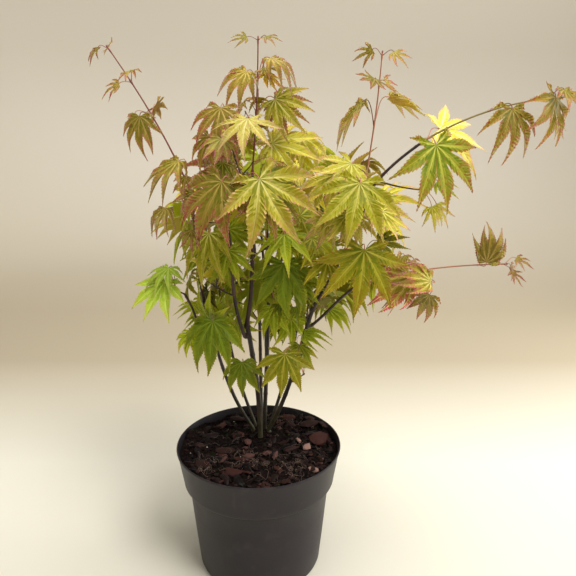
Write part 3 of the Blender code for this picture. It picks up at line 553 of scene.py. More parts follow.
def tube(path: Path, sides: int, flare: float = 0.0, start: Optional[tuple[Vector, Vector]] = None) -> Shape:
    """Closed tube along a path, with flat ends.

    Args:
        path: The axis.
        sides: How many sides it has.
        flare: How much wider its foot is, as a share.
        start: The way and the side of the first ring, which is then left open.

    Returns:
        Vertices and faces.
    """
    way, across = start or (path.tangent(0), path.tangent(0).orthogonal().normalized())
    vertices, faces = [], []
    for index, centre in enumerate(path.points):
        if index:
            way = path.tangent(index)
        across = (across - way * across.dot(way)).normalized()
        beside = way.cross(across)
        radius = path.radii[index]
        radius *= 1 + flare * math.exp(-(centre - path.points[0]).length / FLARE_FADE)
        for side in range(sides):
            angle = 2 * math.pi * side / sides
            vertices.append(centre + (across * math.cos(angle) + beside * math.sin(angle)) * radius)
    for ring in range(len(path.points) - 1):
        for side in range(sides):
            here, there = ring * sides + side, ring * sides + (side + 1) % sides
            faces.append((here, there, there + sides, here + sides))
    if start is None:
        faces.append(tuple(reversed(range(sides))))
    faces.append(tuple(range(len(vertices) - sides, len(vertices))))
    return vertices, faces


def box_of(vertices: Sequence[Vector]) -> tuple[list[float], list[float]]:
    """Lowest and highest corner of some points."""
    low = [min(vertex[axis] for vertex in vertices) for axis in range(3)]
    high = [max(vertex[axis] for vertex in vertices) for axis in range(3)]
    return low, high


def outward(point: Vector) -> Vector:
    """Level direction away from the crown's middle, mostly to the front or the back."""
    away = Vector((0.12 * (point.x - CROWN_AXIS[0]), point.y - CROWN_AXIS[1], 0))
    return away.normalized() if away.length > 1e-6 else Vector((0, -1, 0))


def blade_frame(leaf: Leaf) -> Matrix:
    """Placing matrix of a leaf's blade, facing up and outwards as far as its direction lets it.

    Args:
        leaf: The leaf.

    Returns:
        The matrix from the blade's own axes.
    """
    face = Vector((0, 0, 0.62)) + outward(leaf.hub) * 0.78
    normal = (face - leaf.along * face.dot(leaf.along)).normalized()
    normal = Matrix.Rotation(leaf.roll, 3, leaf.along) @ normal
    side = leaf.along.cross(normal)
    return Matrix.Translation(leaf.hub) @ Matrix((side, leaf.along, normal)).transposed().to_4x4()


class Clearing:
    """The shapes placed so far, which a new leaf or twig must keep clear of."""

    def __init__(self) -> None:
        """Start with nothing placed."""
        self.placed: list[tuple] = []

    def add(self, shape: Shape, owner: str = "") -> None:
        """Place a shape, which may belong to a shoot."""
        low, high = box_of(shape[0])
        self.placed.append((owner, low, high, BVHTree.FromPolygons(*shape)))

    def free(self, shape: Shape, besides: Optional[str] = None) -> bool:
        """Whether a shape touches nothing placed so far.

        Args:
            shape: The new shape.
            besides: The owner whose shapes it may touch.

        Returns:
            True where it's clear.
        """
        low, high = box_of(shape[0])
        tree = None
        for owner, other_low, other_high, other in self.placed:
            if owner == besides:
                continue
            if any(low[axis] > other_high[axis] or high[axis] < other_low[axis] for axis in range(3)):
                continue
            tree = tree or BVHTree.FromPolygons(*shape)
            if tree.overlap(other):
                return False
        return True


@dataclass
class Growth:
    """The rule by which every stem, bough, twig and leaf of the plant gets its place.

    Leaves keep a clearance from each other; one that has none is turned by its swing and shortened, so many
    tries long. Splay and lean give the way in which a leaf leaves its twig and hangs.
    """

    clearance: float = 0.0009
    tries: int = 16
    swing: float = 11.0
    splay: float = 56.0
    lean: float = 0.42
    collar: float = 0.0022
    foot_rise: float = 0.004
    stem_parts: int = 8
    bough_parts: int = 6
    twig_part: float = 0.022
    twig_radii: tuple[float, float] = (0.0011, 0.0006)
    side_radii: tuple[float, float] = (0.0008, 0.0005)
    finer_radii: tuple[float, float] = (0.0007, 0.0005)
    stalk_radius: float = 0.0006
    young_under: float = 0.030
    tip_reach: float = 0.105
    lowest_tip: float = 0.212
    finer_tries: int = 26
    finer_twigs_each: int = 3
    finer_lowest: float = 0.215
    box_pad: float = 0.004
    limbs: dict[str, Path] = field(default_factory=dict)
    twigs: dict[str, list[Path]] = field(default_factory=dict)
    leaves: dict[str, list[Leaf]] = field(default_factory=dict)
    clearing: Clearing = field(default_factory=Clearing)

    def stem_path(self, limb: Limb) -> Path:
        """Axis of a stem that rises from a level cut just above the mix.

        Args:
            limb: Its row in the plan.

        Returns:
            The axis.
        """
        foot = Vector((*limb.foot, MIX_LEVEL + GAP))
        points = bezier(foot, aim(*limb.leave), Vector(limb.tip), aim(*limb.arrive), self.stem_parts)
        points.insert(1, foot + Vector((0, 0, self.foot_rise)))
        shift = points[1] - foot
        points[2:] = [point + shift * (1 - step / self.stem_parts) for step, point in enumerate(points[2:], 1)]
        return Path(points, limb.radii)

    def branch_start(self, parent: Path, at: float, leave: Vector) -> tuple[Vector, Vector]:
        """Where a limb or twig starts off its parent, and the way out from there.

        Args:
            parent: The axis it leaves.
            at: Share of the way along it.
            leave: The direction it takes.

        Returns:
            Its start and the way out.
        """
        point, tangent, radius = parent.spot(at)
        if at == 1.0:
            return point + tangent * GAP, tangent
        out = (leave - tangent * leave.dot(tangent)).normalized()
        return point + out * (radius + GAP), out

    def branch_path(self, parent: Path, limb: "Limb | Shoot", tip: Vector, leave: Vector, arrive: Vector,
                    radii: tuple[float, float], count: int) -> Path:
        """Axis of a limb or twig from its parent to its tip.

        Args:
            parent: The axis it leaves.
            limb: Its row in the plan.
            tip: Where it ends.
            leave: Its direction past its collar.
            arrive: Its direction at the tip.
            radii: Its first and last radius.
            count: How many stretches its curve has.

        Returns:
            The axis.
        """
        start, out = self.branch_start(parent, limb.at, leave)
        collar = start + out * self.collar
        return Path([start] + bezier(collar, leave, tip, arrive, count), radii)

    def coarse_blade(self, size: float, young: bool, droop: float, thick: float, grow: float) -> Shape:
        """Blade of the solids: stalk end at 0, middle lobe along +Y, face +Z.

        Args:
            size: Length of the middle lobe.
            young: Whether it has five narrow lobes.
            droop: How far the lobes' tips hang, as a share of the size.
            thick: Thickness at the hub and ribs.
            grow: How far it is widened all round.

        Returns:
            Vertices, of which the first three are the stalk's ring, and faces.
        """
        seat, half = SEAT * size, thick / 2
        lobes = YOUNG_LOBES if young else FULL_LOBES

        def place(angle: float, radius: float, lift: float = 0.0) -> Vector:
            """Point at an angle and a distance from the hub."""
            turn = math.radians(angle)
            height = lift - droop * size * (radius / size) ** 2
            return Vector((-math.sin(turn) * radius, seat + math.cos(turn) * radius, height))

        top, bottom = 3, 4
        vertices = [Vector((0, 0, 0)) for _ in range(3)] + [place(0, 0, half), place(0, 0, -half)]
        faces: list[tuple] = []
        before = None
        for index, (angle, length, half_width) in enumerate(lobes):
            radius = length * size
            after_lobe = lobes[index + 1] if index < len(lobes) - 1 else None
            first = len(vertices)
            if half_width:
                flare = math.degrees(math.atan2(half_width * size + grow, 0.5 * radius))
                side = math.hypot(0.5 * radius, half_width * size)
                fall = -0.10 * half_width * size
                vertices += [place(angle - flare, side, fall), place(angle, radius + grow)]
                vertices += [place(angle + flare, side, fall)]
                vertices += [place(angle, 0.5 * radius, half), place(angle, 0.5 * radius, -half)]
                right, tip, left, ribs = first, first + 1, first + 2, (first + 3, first + 4)
            else:
                vertices.append(place(angle, radius + grow))
                right, tip, left, ribs = None, first, None, None
            after = None
            if after_lobe:
                sinus = 0.34 * size * (length + after_lobe[1]) / 2
                after = len(vertices)
                vertices.append(place((angle + after_lobe[0]) / 2, sinus + grow))
            for below, hub in enumerate((top, bottom)):
                if ribs:
                    rim = [before, right, tip, left, after, hub]
                    fan = [(rim[spot - 1], rim[spot], ribs[below]) for spot in range(6)]
                else:
                    fan = [(hub, before, tip), (hub, tip, after)]
                fan = [face for face in fan if None not in face]
                faces += [tuple(reversed(face)) for face in fan] if below else fan
            before = after
        last = len(vertices) - 1
        faces += [(top, 0, 5), (5, 0, 2), (5, 2, bottom), (bottom, 2, 1)]
        return vertices, faces + [(bottom, 1, last), (last, 1, 0), (last, 0, top)]

    def coarse_leaf(self, leaf: Leaf, grow: float = 0.0, clip: float = 0.0) -> Shape:
        """One closed mesh of a leaf's blade and stalk as the solids have it.

        Args:
            leaf: The leaf.
            grow: How far it is widened all round.
            clip: Share of the stalk's first stretch that is left out.

        Returns:
            Vertices and faces.
        """
        frame = blade_frame(leaf)
        young = leaf.size < self.young_under
        thick = 0.0004 + 0.018 * leaf.size + 2 * grow
        blade, faces = self.coarse_blade(leaf.size, young, leaf.droop, thick, grow)
        points = bezier(leaf.root, leaf.out, leaf.hub, leaf.along, 2 if leaf.out.dot(leaf.along) > 0.4 else 3)
        radius = self.stalk_radius * (0.75 if young else 1.0) + grow
        points[0] = points[0].lerp(points[1], clip)
        points[0] = points[0] - leaf.out * self.stalk_radius * 0.5
        stalk = Path(points[::-1], (radius, radius))
        start = (-leaf.along, frame.to_3x3() @ Vector((0, 0, 1)))
        stalk_vertices, stalk_faces = tube(stalk, FINE_SIDES, start=start)
        count = len(blade) - 3
        vertices = stalk_vertices[:3] + [frame @ vertex for vertex in blade[3:]] + stalk_vertices[3:]
        return vertices, faces + [tuple(s if s < 3 else s + count for s in face) for face in stalk_faces]

    def place(self, owner: str, leaf: Leaf) -> bool:
        """Place a leaf if only its root meets its own twig and the rest is clear.

        Args:
            owner: Its shoot's name.
            leaf: The leaf.

        Returns:
            Whether it is placed.
        """
        outer, plain = self.coarse_leaf(leaf, self.clearance, 0.6), self.coarse_leaf(leaf)
        tree = BVHTree.FromPolygons(*plain)
        if any(not set(plain[1][one]) & set(plain[1][two]) for one, two in tree.overlap(tree)):
            return False
        if not self.clearing.free(outer):
            return False
        if not self.clearing.free(self.coarse_leaf(leaf, self.clearance), owner):
            return False
        self.clearing.add(outer)
        return True

    def grow_leaf(self, shoot: Shoot, spot: tuple, turn: float, size: float, rng: random.Random,
                  space: Callable[[Vector], bool]) -> list[Leaf]:
        """One leaf of a pair, turned and shortened until it is clear of all others.

        Args:
            shoot: The shoot it grows on.
            spot: Point, tangent and radius of its twig there.
            turn: Its turn about the twig, in degrees.
            size: The length of its middle lobe.
            rng: The shoot's own random numbers.
            space: Tells whether a tip is in the shoot's own space.

        Returns:
            The leaf in a list, or nothing.
        """
        root, tangent, _ = spot
        jitter = [rng.uniform(-1, 1) for _ in range(4)]
        across = tangent.orthogonal().normalized()
        for attempt in range(self.tries):
            swing = (-1) ** attempt * attempt * self.swing
            angle = math.radians(turn + 10 * jitter[0] + swing)
            splay = math.radians(self.splay + 8 * jitter[1] - 1.5 * attempt)
            radial = Matrix.Rotation(angle, 3, tangent) @ across
            out = tangent * math.cos(splay) + radial * math.sin(splay)
            lean = self.lean + 0.16 * jitter[2] + 0.03 * attempt
            grown = size * (1 - 0.02 * attempt)
            hang = (out * 0.8 + outward(root) * 0.25 + Vector((0, 0, -0.25))).normalized()
            stalk = 0.50 * grown * (1 + 0.05 * attempt)
            hub = root + (out * 0.55 + hang * 0.45).normalized() * stalk
            along = (hang * (1 - lean) + Vector((0, 0, -lean)) + outward(hub) * 0.1).normalized()
            leaf = Leaf(root, out, hub, along, grown, shoot.droop, math.radians(14 * jitter[3]))
            if space(hub + along * grown) and self.place(shoot.name, leaf):
                return [leaf]
        return []

    def large_leaves(self, shoot: Shoot, twig: Path) -> list[Leaf]:
        """Place the leaves of a shoot that have places of their own.

        Args:
            shoot: The shoot.
            twig: Its main twig.

        Returns:
            The leaves that found room.
        """
        placed = []
        for row in LARGE_LEAVES.get(shoot.name, ()):
            root, tangent, _ = twig.spot(row.at * TWIG_END)
            for attempt in range(self.tries):
                step = Vector((0, 0, 1)) if attempt % 2 else outward(Vector(row.hub))
                hub = Vector(row.hub) + step * 0.0012 * attempt
                out = ((hub - root).normalized() + tangent * 0.6).normalized()
                roll = math.radians(row.roll + (-1) ** attempt * attempt * 4.0)
                leaf = Leaf(root, out, hub, aim(*row.along), row.size, shoot.droop, roll)
                if self.place(shoot.name, leaf):
                    placed.append(leaf)
                    break
        return placed

    def shoot_twigs(self, shoot: Shoot) -> list[Path]:
        """Axes of a shoot's main twig and side twigs.

        Args:
            shoot: The shoot.

        Returns:
            The axes, the main twig's first.
        """
        leave, arrive = aim(shoot.heading, shoot.rise - shoot.bow), aim(shoot.heading, shoot.rise + shoot.bow)
        count = max(3, round(shoot.length / self.twig_part))
        parent = self.limbs[shoot.parent]
        tip = self.branch_start(parent, shoot.at, leave)[0] + aim(shoot.heading, shoot.rise) * shoot.length
        main = self.branch_path(parent, shoot, tip, leave, arrive, self.twig_radii, count)
        twigs = [main]
        for side in range(shoot.sides):
            root, tangent, _ = main.spot(0.30 + 0.25 * side)
            angle = math.radians(shoot.twist + 45 + 180 * side)
            radial = Matrix.Rotation(angle, 3, tangent) @ tangent.orthogonal().normalized()
            way = (tangent + radial).normalized()
            tip = root + way * max(0.030, 0.40 * shoot.length)
            upwards = (way + Vector((0, 0, 0.5))).normalized()
            twigs.append(Path(bezier(root, way, tip, upwards, 3), self.side_radii))
        return twigs

    def pair_leaves(self, shoot: Shoot) -> list[Leaf]:
        """Grow the other leaves of a shoot, in opposite pairs that turn a quarter from one pair to the next.

        Args:
            shoot: The shoot.

        Returns:
            The leaves that found room.
        """
        rng = random.Random(shoot.seed)
        twigs = self.twigs[shoot.name]
        middle = twigs[0].spot(0.5)[0]
        reach = shoot.length / 2 + self.tip_reach

        def space(tip: Vector) -> bool:
            """Whether a tip is near enough to the shoot and clear of the pot."""
            return (tip - middle).length < reach and tip.z > self.lowest_tip + 0.45 * max(tip.y, 0)

        leaves = []
        for order, twig in enumerate(twigs):
            pairs = shoot.pairs if order == 0 else 1
            for pair in range(pairs):
                share = 1.0 if pairs == 1 else shoot.first + (1 - shoot.first) * pair / (pairs - 1)
                size = shoot.leaf[0] + (shoot.leaf[1] - shoot.leaf[0]) * (pair / max(pairs - 1, 1))
                size *= 0.85 if order else 1.0
                for half in (0, 180):
                    turn = shoot.twist + 90 * (pair + order) + half
                    leaves += self.grow_leaf(shoot, twig.spot(share * TWIG_END), turn, size, rng, space)
        return leaves

    def in_crown(self, place: Vector) -> bool:
        """Whether a point, seen from the front, lies where the crown is dense and not in its open gaps.

        Args:
            place: The point.

        Returns:
            True inside the crown's outline.
        """
        away = place - Vector(EYE)
        tilt = math.radians(PITCH)
        deep = away.y * math.cos(tilt) - away.z * math.sin(tilt)
        over = away.y * math.sin(tilt) + away.z * math.cos(tilt)
        x, y, inside = away.x / deep, over / deep, False
        for (ax, ay), (bx, by) in zip(CROWN, CROWN[1:] + CROWN[:1]):
            if (ay > y) != (by > y) and x < ax + (bx - ax) * (y - ay) / (by - ay):
                inside = not inside
        return inside

    def veils_stems(self, place: Vector) -> bool:
        """Whether a point lies before the stretch of the stems that shows from the front."""
        return place.y < 0.012 and -0.055 < place.x < 0.024 and place.z < 0.445

    def finer_twigs(self, shoot: Shoot, low: Vector, high: Vector) -> None:
        """Carry a shoot on to finer side twigs with smaller leaves, in its own box and where there is room.

        Args:
            shoot: The shoot.
            low: Lowest corner of its solid.
            high: Highest corner of its solid.
        """
        rng = random.Random(1000 + shoot.seed)
        twigs, found, pad = self.twigs[shoot.name], 0, self.box_pad

        def fits(place: Vector) -> bool:
            """Whether a point is in the shoot's box and in the dense crown."""
            boxed = all(low[axis] - pad < place[axis] < high[axis] + pad for axis in range(3))
            return boxed and self.in_crown(place) and place.z > self.finer_lowest and not self.veils_stems(place)

        for _ in range(self.finer_tries):
            if found == self.finer_twigs_each:
                return
            base = twigs[0].spot(rng.uniform(0.15, 0.95))
            angle, splay = rng.uniform(0, 2 * math.pi), math.radians(rng.uniform(35, 65))
            radial = Matrix.Rotation(angle, 3, base[1]) @ base[1].orthogonal().normalized()
            way = (base[1] * math.cos(splay) + radial * math.sin(splay)).normalized()
            tip = base[0] + way * rng.uniform(0.014, 0.034)
            upwards = (way + Vector((0, 0, 0.35))).normalized()
            twig = Path(bezier(base[0], way, tip, upwards, 3), self.finer_radii)
            size = rng.uniform(*YOUNG_GROWTH.get(shoot.name, GROWTH))
            rolls = rng.uniform(0, 180)
            grown = []
            if fits(tip) and self.clearing.free(tube(twig, FINE_SIDES), shoot.name):
                for half in (0, 180):
                    grown += self.grow_leaf(shoot, twig.spot(TWIG_END), rolls + half, size, rng, fits)
            if grown:
                found += 1
                self.clearing.add(tube(twig, FINE_SIDES), shoot.name)
                twigs.append(twig)
                self.leaves[shoot.name] += grown

    def grow(self) -> None:
        """Give every limb, twig and leaf its place, clear of each other."""
        for limb in STEMS:
            self.limbs[limb.name] = self.stem_path(limb)
            self.clearing.add(tube(self.limbs[limb.name], STEM_SIDES, STEM_FLARE))
        for limb in BOUGHS:
            leave, arrive, tip = aim(*limb.leave), aim(*limb.arrive), Vector(limb.tip)
            path = self.branch_path(self.limbs[limb.parent], limb, tip, leave, arrive, limb.radii, self.bough_parts)
            self.limbs[limb.name] = path
            self.clearing.add(tube(path, BOUGH_SIDES))
        for shoot in SHOOTS:
            main, *sides = self.shoot_twigs(shoot)
            self.clearing.add(tube(main, TWIG_SIDES), shoot.name)
            kept = [side for side in sides if self.clearing.free(tube(side, FINE_SIDES), shoot.name)]
            for side in kept:
                self.clearing.add(tube(side, FINE_SIDES), shoot.name)
            self.twigs[shoot.name] = [main, *kept]
        for shoot in SHOOTS:
            self.leaves[shoot.name] = self.large_leaves(shoot, self.twigs[shoot.name][0])
        for shoot in SHOOTS:
            self.leaves[shoot.name] += self.pair_leaves(shoot)


# --------------------------------------------------------------------------- leaf blades


class Zone(Enum):
    """The parts of a blade that turn colour one after another."""

    VEIN = 0
    BAND = 1
    HEART = 2
    INNER = 3
    BLADE = 4
    STRIPE = 5
    OUTER = 6
    RIM = 7
    EDGE = 8
    TIP = 9
    UNDER = 10


@dataclass(frozen=True)
class Tint:
    """The plain colours of one kind of leaf, from its hub to its teeth."""

    name: str
    # The veins' own pale colour, made paler still as painted highlight.
    vein: Colour
    heart: Colour
    blade: Colour
    outer: Colour
    edge: Colour
    tip: Colour
    under: Colour

    def finish(self, zone: Zone, tone: int) -> PlainFinish:
        """Finish of a zone in one of the tint's tones.

        Args:
            zone: The zone.
            tone: The tone's number.

        Returns:
            The finish.
        """
        table = {
            # Veins, the band beside them and the stripes paled towards them: the leaf's own paler colour, made
            # paler still as painted highlight.
            Zone.VEIN: self.vein,
            Zone.BAND: blended(self.blade, self.vein, 0.42),
            Zone.HEART: blended(self.heart, self.blade, 0.15),
            Zone.INNER: blended(self.heart, self.blade, 0.6),
            Zone.BLADE: self.blade,
            Zone.STRIPE: blended(self.blade, self.vein, 0.10),
            Zone.OUTER: self.outer,
            Zone.RIM: blended(self.outer, self.edge, 0.5),
            Zone.EDGE: self.edge,
            Zone.TIP: self.tip,
            Zone.UNDER: self.under,
        }
        colour = tuple(min(channel * TONES[tone], 250.0) for channel in table[zone])
        return PlainFinish(f"{self.name}_{zone.name.lower()}_{tone}", colour, 0.46, 0.17, LEAF_GLOW)


LEAF_GLOW = 0.35
TENDER = 0.036  # size in metres below which a leaf is still half folded and held level
SMALL_UNDER = 0.040  # size in metres below which a leaf has fewer teeth
TONES = (0.86, 1.0, 1.12)
# How often each tone is dealt out, and how much further in the red of some leaves reaches
TENDER_TONES, GROWN_TONES = (0.6, 0.35, 0.05), (0.3, 0.45, 0.25)
TENDER_RIPE, FLUSHED_RIPE = 0.12, 0.10


@dataclass(frozen=True)
class Outline:
    """How finely a kind of blade is cut: its lobes, the half width of each, and its rows of side veins."""

    lobes: tuple[Place, ...]
    widths: tuple[float, ...]
    web_rows: int
    rows: tuple[int, ...]
    tooth: float


FULL_WIDTHS = (0.058, 0.092, 0.110, 0.116, 0.110, 0.092, 0.058)
FINE = Outline(FULL_LOBES, FULL_WIDTHS, 3, (12, 20, 26, 26, 26, 20, 12), 0.019)
SMALL = Outline(FULL_LOBES, FULL_WIDTHS, 2, (8, 14, 18, 18, 18, 14, 8), 0.021)
YOUNG = Outline(YOUNG_LOBES, (0.058, 0.070, 0.076, 0.070, 0.058), 2, (8, 12, 12, 12, 8), 0.024)
# A lobe's half width beyond its start, as a share of its widest, and where along it
WAIST = (0.0, 0.10, 0.22, 0.34, 0.48, 0.61, 0.73, 0.84, 0.93, 1.0)
SWELL = (0.92, 1.0, 0.96, 0.80, 0.56, 0.34, 0.18, 0.09, 0.0)
# Relief of a blade in shares of its size: between side veins, on them, its unevenness, and its midvein's width
BULGE, HOLLOW, UNEVEN, VEIN_WIDTH = 0.0080, -0.0045, 0.0045, 0.0085
WEB_RELIEF = 0.004
VEIN_SLOPE = math.radians(40)


class Blade:
    """A palmate blade in shares of its size, as arrays that any leaf of its kind can bend and place.

    The hub is at the origin, the middle lobe along +Y and the face towards +Z. Columns of the face run from
    a lobe's right margin over its midvein to its left margin; rows follow the side veins.
    """

    def __init__(self, outline: Outline, rng: Draws) -> None:
        """Cut one blade.

        Args:
            outline: How it is cut.
            rng: Random numbers that make each cut a little different.
        """
        self.spots: list[tuple] = []
        self.faces: list[tuple] = []
        self.zones: list[tuple] = []
        self.outline = outline
        self.rng = rng
        lobes = outline.lobes
        self.turns = [math.radians(angle * 0.93 + rng.uniform(-2.5, 2.5)) for angle, _, _ in lobes]
        self.lengths = [length * rng.uniform(0.95, 1.02) for _, length, _ in lobes]
        self.halves = [(b - a) / 2 for a, b in zip(self.turns, self.turns[1:])]
        self.sinuses = [
            0.305 * (a + b) / 2 * rng.uniform(0.93, 1.07) for a, b in zip(self.lengths, self.lengths[1:])
        ]
        self.hub, self.under_hub = self.spot(0, 0, 0, 0, 0, WEB_RELIEF), self.spot(0, 0, 0, 0, 0, -0.009)
        self.borders = [self.border(gap) for gap in range(len(lobes) - 1)]
        outer = [self.free_border(0, -1), self.free_border(len(lobes) - 1, 1)]
        for index in range(len(lobes)):
            right = outer[0] if index == 0 else self.borders[index - 1]
            left = outer[1] if index == len(lobes) - 1 else self.borders[index]
            self.lobe(index, right, left)
        for edge, flip in ((outer[0], False), (outer[1], True)):
            corner = (self.hub, edge[0][0], self.under_hub)
            self.face(corner[::-1] if flip else corner, Zone.UNDER, 0)
        self.finish()

    def spot(self, lobe: int, along: float, across: float, share: float, side: float, lift: float) -> int:
        """Add a vertex.

        Args:
            lobe: Its lobe's number.
            along: How far it is along the lobe's midvein.
            across: How far it is left of it.
            share: Its place from the sinus, 0, to the lobe's tip, 1.
            side: Its place across the lobe, from -1 to 1.
            lift: Its relief.

        Returns:
            Its number.
        """
        turn = self.turns[lobe]
        x = -math.sin(turn) * along - math.cos(turn) * across
        y = math.cos(turn) * along - math.sin(turn) * across
        self.spots.append((x, y, lift, lobe, share, side * min(share * 3, 1.0)))
        return len(self.spots) - 1

    def face(self, corners: tuple[int, ...], zone: Zone, share: float) -> None:
        """Add a face, which its zone and its place along the lobe will colour."""
        self.faces.append(corners)
        self.zones.append((zone.value, share))

    def border(self, gap: int) -> list[tuple[int, int]]:
        """Add vertices of the face and of the underside from the hub to the sinus after a lobe.

        Args:
            gap: The lobe's number.

        Returns:
            Pairs of vertex numbers, the hub's end first.
        """
        half, reach, rows = self.halves[gap], self.sinuses[gap], self.outline.web_rows
        found = []
        for row in range(1, rows + 1):
            far = reach * row / rows
            along, across = far * math.cos(half), far * math.sin(half)
            top = self.spot(gap, along, across, 0, 0, 0.0 if row == rows else WEB_RELIEF)
            under = top if row == rows else self.spot(gap, along, across, 0, 0, -WEB_RELIEF)
            found.append((top, under))
        return found

    def free_border(self, lobe: int, side: int) -> list[tuple[int, int]]:
        """Add vertices along an outermost lobe's free margin next to the stalk.

        Args:
            lobe: The lobe's number.
            side: -1 on the right, 1 on the left.

        Returns:
            Pairs of vertex numbers, the hub's end first.
        """
        rows = self.outline.web_rows
        reach = 0.20 * self.lengths[lobe] / 0.42
        found = []
        for row in range(1, rows + 1):
            far = reach * row / rows
            found.append((self.spot(lobe, far * 0.94, side * far * 0.34, 0, 0, 0.0),) * 2)
        return found

    def half_width(self, lobe: int, along: float, start: float, wide: float) -> float:
        """Half width of a lobe beyond its sinus, where it starts with a width of its own."""
        share = min(max((along - start) / (self.lengths[lobe] - start), 0.0), 1.0)
        full = self.outline.widths[lobe] * self.lengths[lobe] / self.outline.lobes[lobe][1]
        return float(full * np.interp(share, WAIST, (wide / full, *SWELL)))

    def lobe(self, index: int, right: list, left: list) -> None:
        """Build one lobe between its borders.

        Args:
            index: The lobe's number.
            right: Border vertices on its right.
            left: Border vertices on its left.
        """
        length, rows, web = self.lengths[index], self.outline.rows[index], self.outline.web_rows
        ends = [[self.local(self.turns[index], spot) for spot, _ in border] for border in (right, left)]
        stations = []
        for row in range(web):
            (t_right, c_right), (t_left, c_left) = ends[0][row], ends[1][row]
            middle = (t_right + t_left) / 2 - (abs(c_right) + abs(c_left)) / 2 / math.tan(VEIN_SLOPE) * 0.85
            middle = max(middle, 0.012 * (row + 1))
            stations.append(self.cross(index, middle, ends[0][row], ends[1][row], 0.0, row, right[row], left[row]))
        start = stations[-1][0]
        for row in range(1, rows):
            share = (row / rows) ** 0.96
            middle = start + (length - start) * share
            sides = []
            for side in (-1, 1):
                foot_along, foot_across = ends[0][-1] if side < 0 else ends[1][-1]
                pitch = VEIN_SLOPE * (1 - 0.35 * share) * self.rng.uniform(0.94, 1.06)
                reach = 0.0
                for _ in range(6):
                    width = self.half_width(index, middle + reach * math.cos(pitch), foot_along, abs(foot_across))
                    reach = width / math.sin(pitch)
                fade = (1 - share) ** 0.6
                tooth = self.outline.tooth * (0.35 + 0.9 * fade) * self.rng.uniform(0.75, 1.25)
                reach += tooth if row % 2 == 0 else -0.30 * tooth
                room = (length - middle) * 0.96 / math.cos(pitch)
                reach = max(min(reach, room), 0.003)
                sides.append((middle + reach * math.cos(pitch), side * reach * math.sin(pitch)))
            stations.append(self.cross(index, middle, sides[0], sides[1], share, row, None, None))
        self.weave(index, stations, rows)

    def local(self, turn: float, spot: int) -> tuple[float, float]:
        """Place of a vertex along and across a lobe's midvein."""
        x, y = self.spots[spot][:2]
        return -math.sin(turn) * x + math.cos(turn) * y, -math.cos(turn) * x - math.sin(turn) * y

    def cross(self, lobe: int, middle: float, right: tuple[float, float], left: tuple[float, float],
              share: float, row: int, right_spot: Optional[tuple], left_spot: Optional[tuple]) -> tuple:
        """Add one row of vertices across a lobe.

        Args:
            lobe: The lobe's number.
            middle: Where the row crosses the midvein.
            right: Where it ends on the right.
            left: Where it ends on the left.
            share: The row's place from the sinus to the tip.
            row: Its number, even where a side vein runs.
            right_spot: A border vertex that ends it on the right.
            left_spot: A border vertex that ends it on the left.

        Returns:
            The place of the middle, the face's nine vertices and the underside's three.
        """
        bulge = (BULGE if row % 2 else HOLLOW) * (1 - 0.6 * share)
        top, under = [], []
        for end, spot, side in ((right, right_spot, -1), (left, left_spot, 1)):
            wide = max(abs(end[1]), 1e-4)
            vein = min(0.30, VEIN_WIDTH * (1 - 0.5 * share) / wide)
            row_spots = [spot if spot else (self.spot(lobe, *end, share, side, 0.0),) * 2]
            bumps = self.rng.uniform(-UNEVEN, UNEVEN, 2)
            inner = 0.5 * (bulge + bumps[1])
            for part, lift, back in ((0.78, bulge + bumps[0], 0.05), (0.32, 1.6 * inner, 0.03), (vein, inner, 0.0)):
                along = middle + (end[0] - middle) * (part - back)
                lifted = self.spot(lobe, along, end[1] * part, share, side * part, lift)
                row_spots.append((lifted, None))
            top.append([found[0] for found in row_spots])
            under.append(row_spots[0][1])
        centre = self.spot(lobe, middle, 0.0, share, 0.0, -0.0050)
        below = self.spot(lobe, middle, 0.0, share, 0.0, -0.0150 * (1 - 0.5 * share))
        return middle, [*top[0], centre, *reversed(top[1])], [under[0], below, under[1]]

    def weave(self, lobe: int, stations: list[tuple], rows: int) -> None:
        """Join a lobe's rows with faces, from the hub to the tip.

        Args:
            lobe: The lobe's number.
            stations: Its rows of vertices.
            rows: How many rows of side veins it has.
        """
        tip = self.spot(lobe, self.lengths[lobe], 0.0, 1.0, 0.0, 0.0)
        half = (Zone.EDGE, Zone.BLADE, Zone.BAND, Zone.VEIN)
        columns = (*half, *reversed(half))
        _, top, under = stations[0]
        for spot, zone in enumerate(columns):
            kind = Zone.HEART if zone is Zone.EDGE else zone
            self.face((self.hub, top[spot], top[spot + 1]), kind, -1.0)
        for spot in range(2):
            self.face((self.under_hub, under[spot + 1], under[spot]), Zone.UNDER, 0)
        for row, ((_, near, below), (_, far, beyond)) in enumerate(zip(stations, stations[1:])):
            share = -0.5 if row + 1 < self.outline.web_rows else (row + 2 - self.outline.web_rows) / rows
            for spot, zone in enumerate(columns):
                kind = Zone.STRIPE if zone is Zone.BLADE and row % 2 else zone
                self.face((near[spot], far[spot], far[spot + 1], near[spot + 1]), kind, share)
            for spot in range(2):
                self.face((below[spot + 1], beyond[spot + 1], beyond[spot], below[spot]), Zone.UNDER, share)
        _, top, under = stations[-1]
        for spot in range(len(columns)):
            self.face((top[spot], tip, top[spot + 1]), Zone.TIP, 1.0)
        for spot in range(2):
            self.face((under[spot + 1], tip, under[spot]), Zone.UNDER, 1.0)

    def finish(self) -> None:
        """Turn the lists into arrays."""
        spots = np.array(self.spots)
        self.flat, self.lift = spots[:, :2], spots[:, 2]
        self.lobe_of, self.share, self.side = spots[:, 3].astype(int), spots[:, 4], spots[:, 5]
        self.sizes = np.array([len(face) for face in self.faces])
        self.corners = np.array([corner for face in self.faces for corner in face])
        zones = np.array(self.zones)
        self.zone, self.zone_share = zones[:, 0].astype(int), zones[:, 1]
        self.far = np.hypot(self.flat[:, 0], self.flat[:, 1])


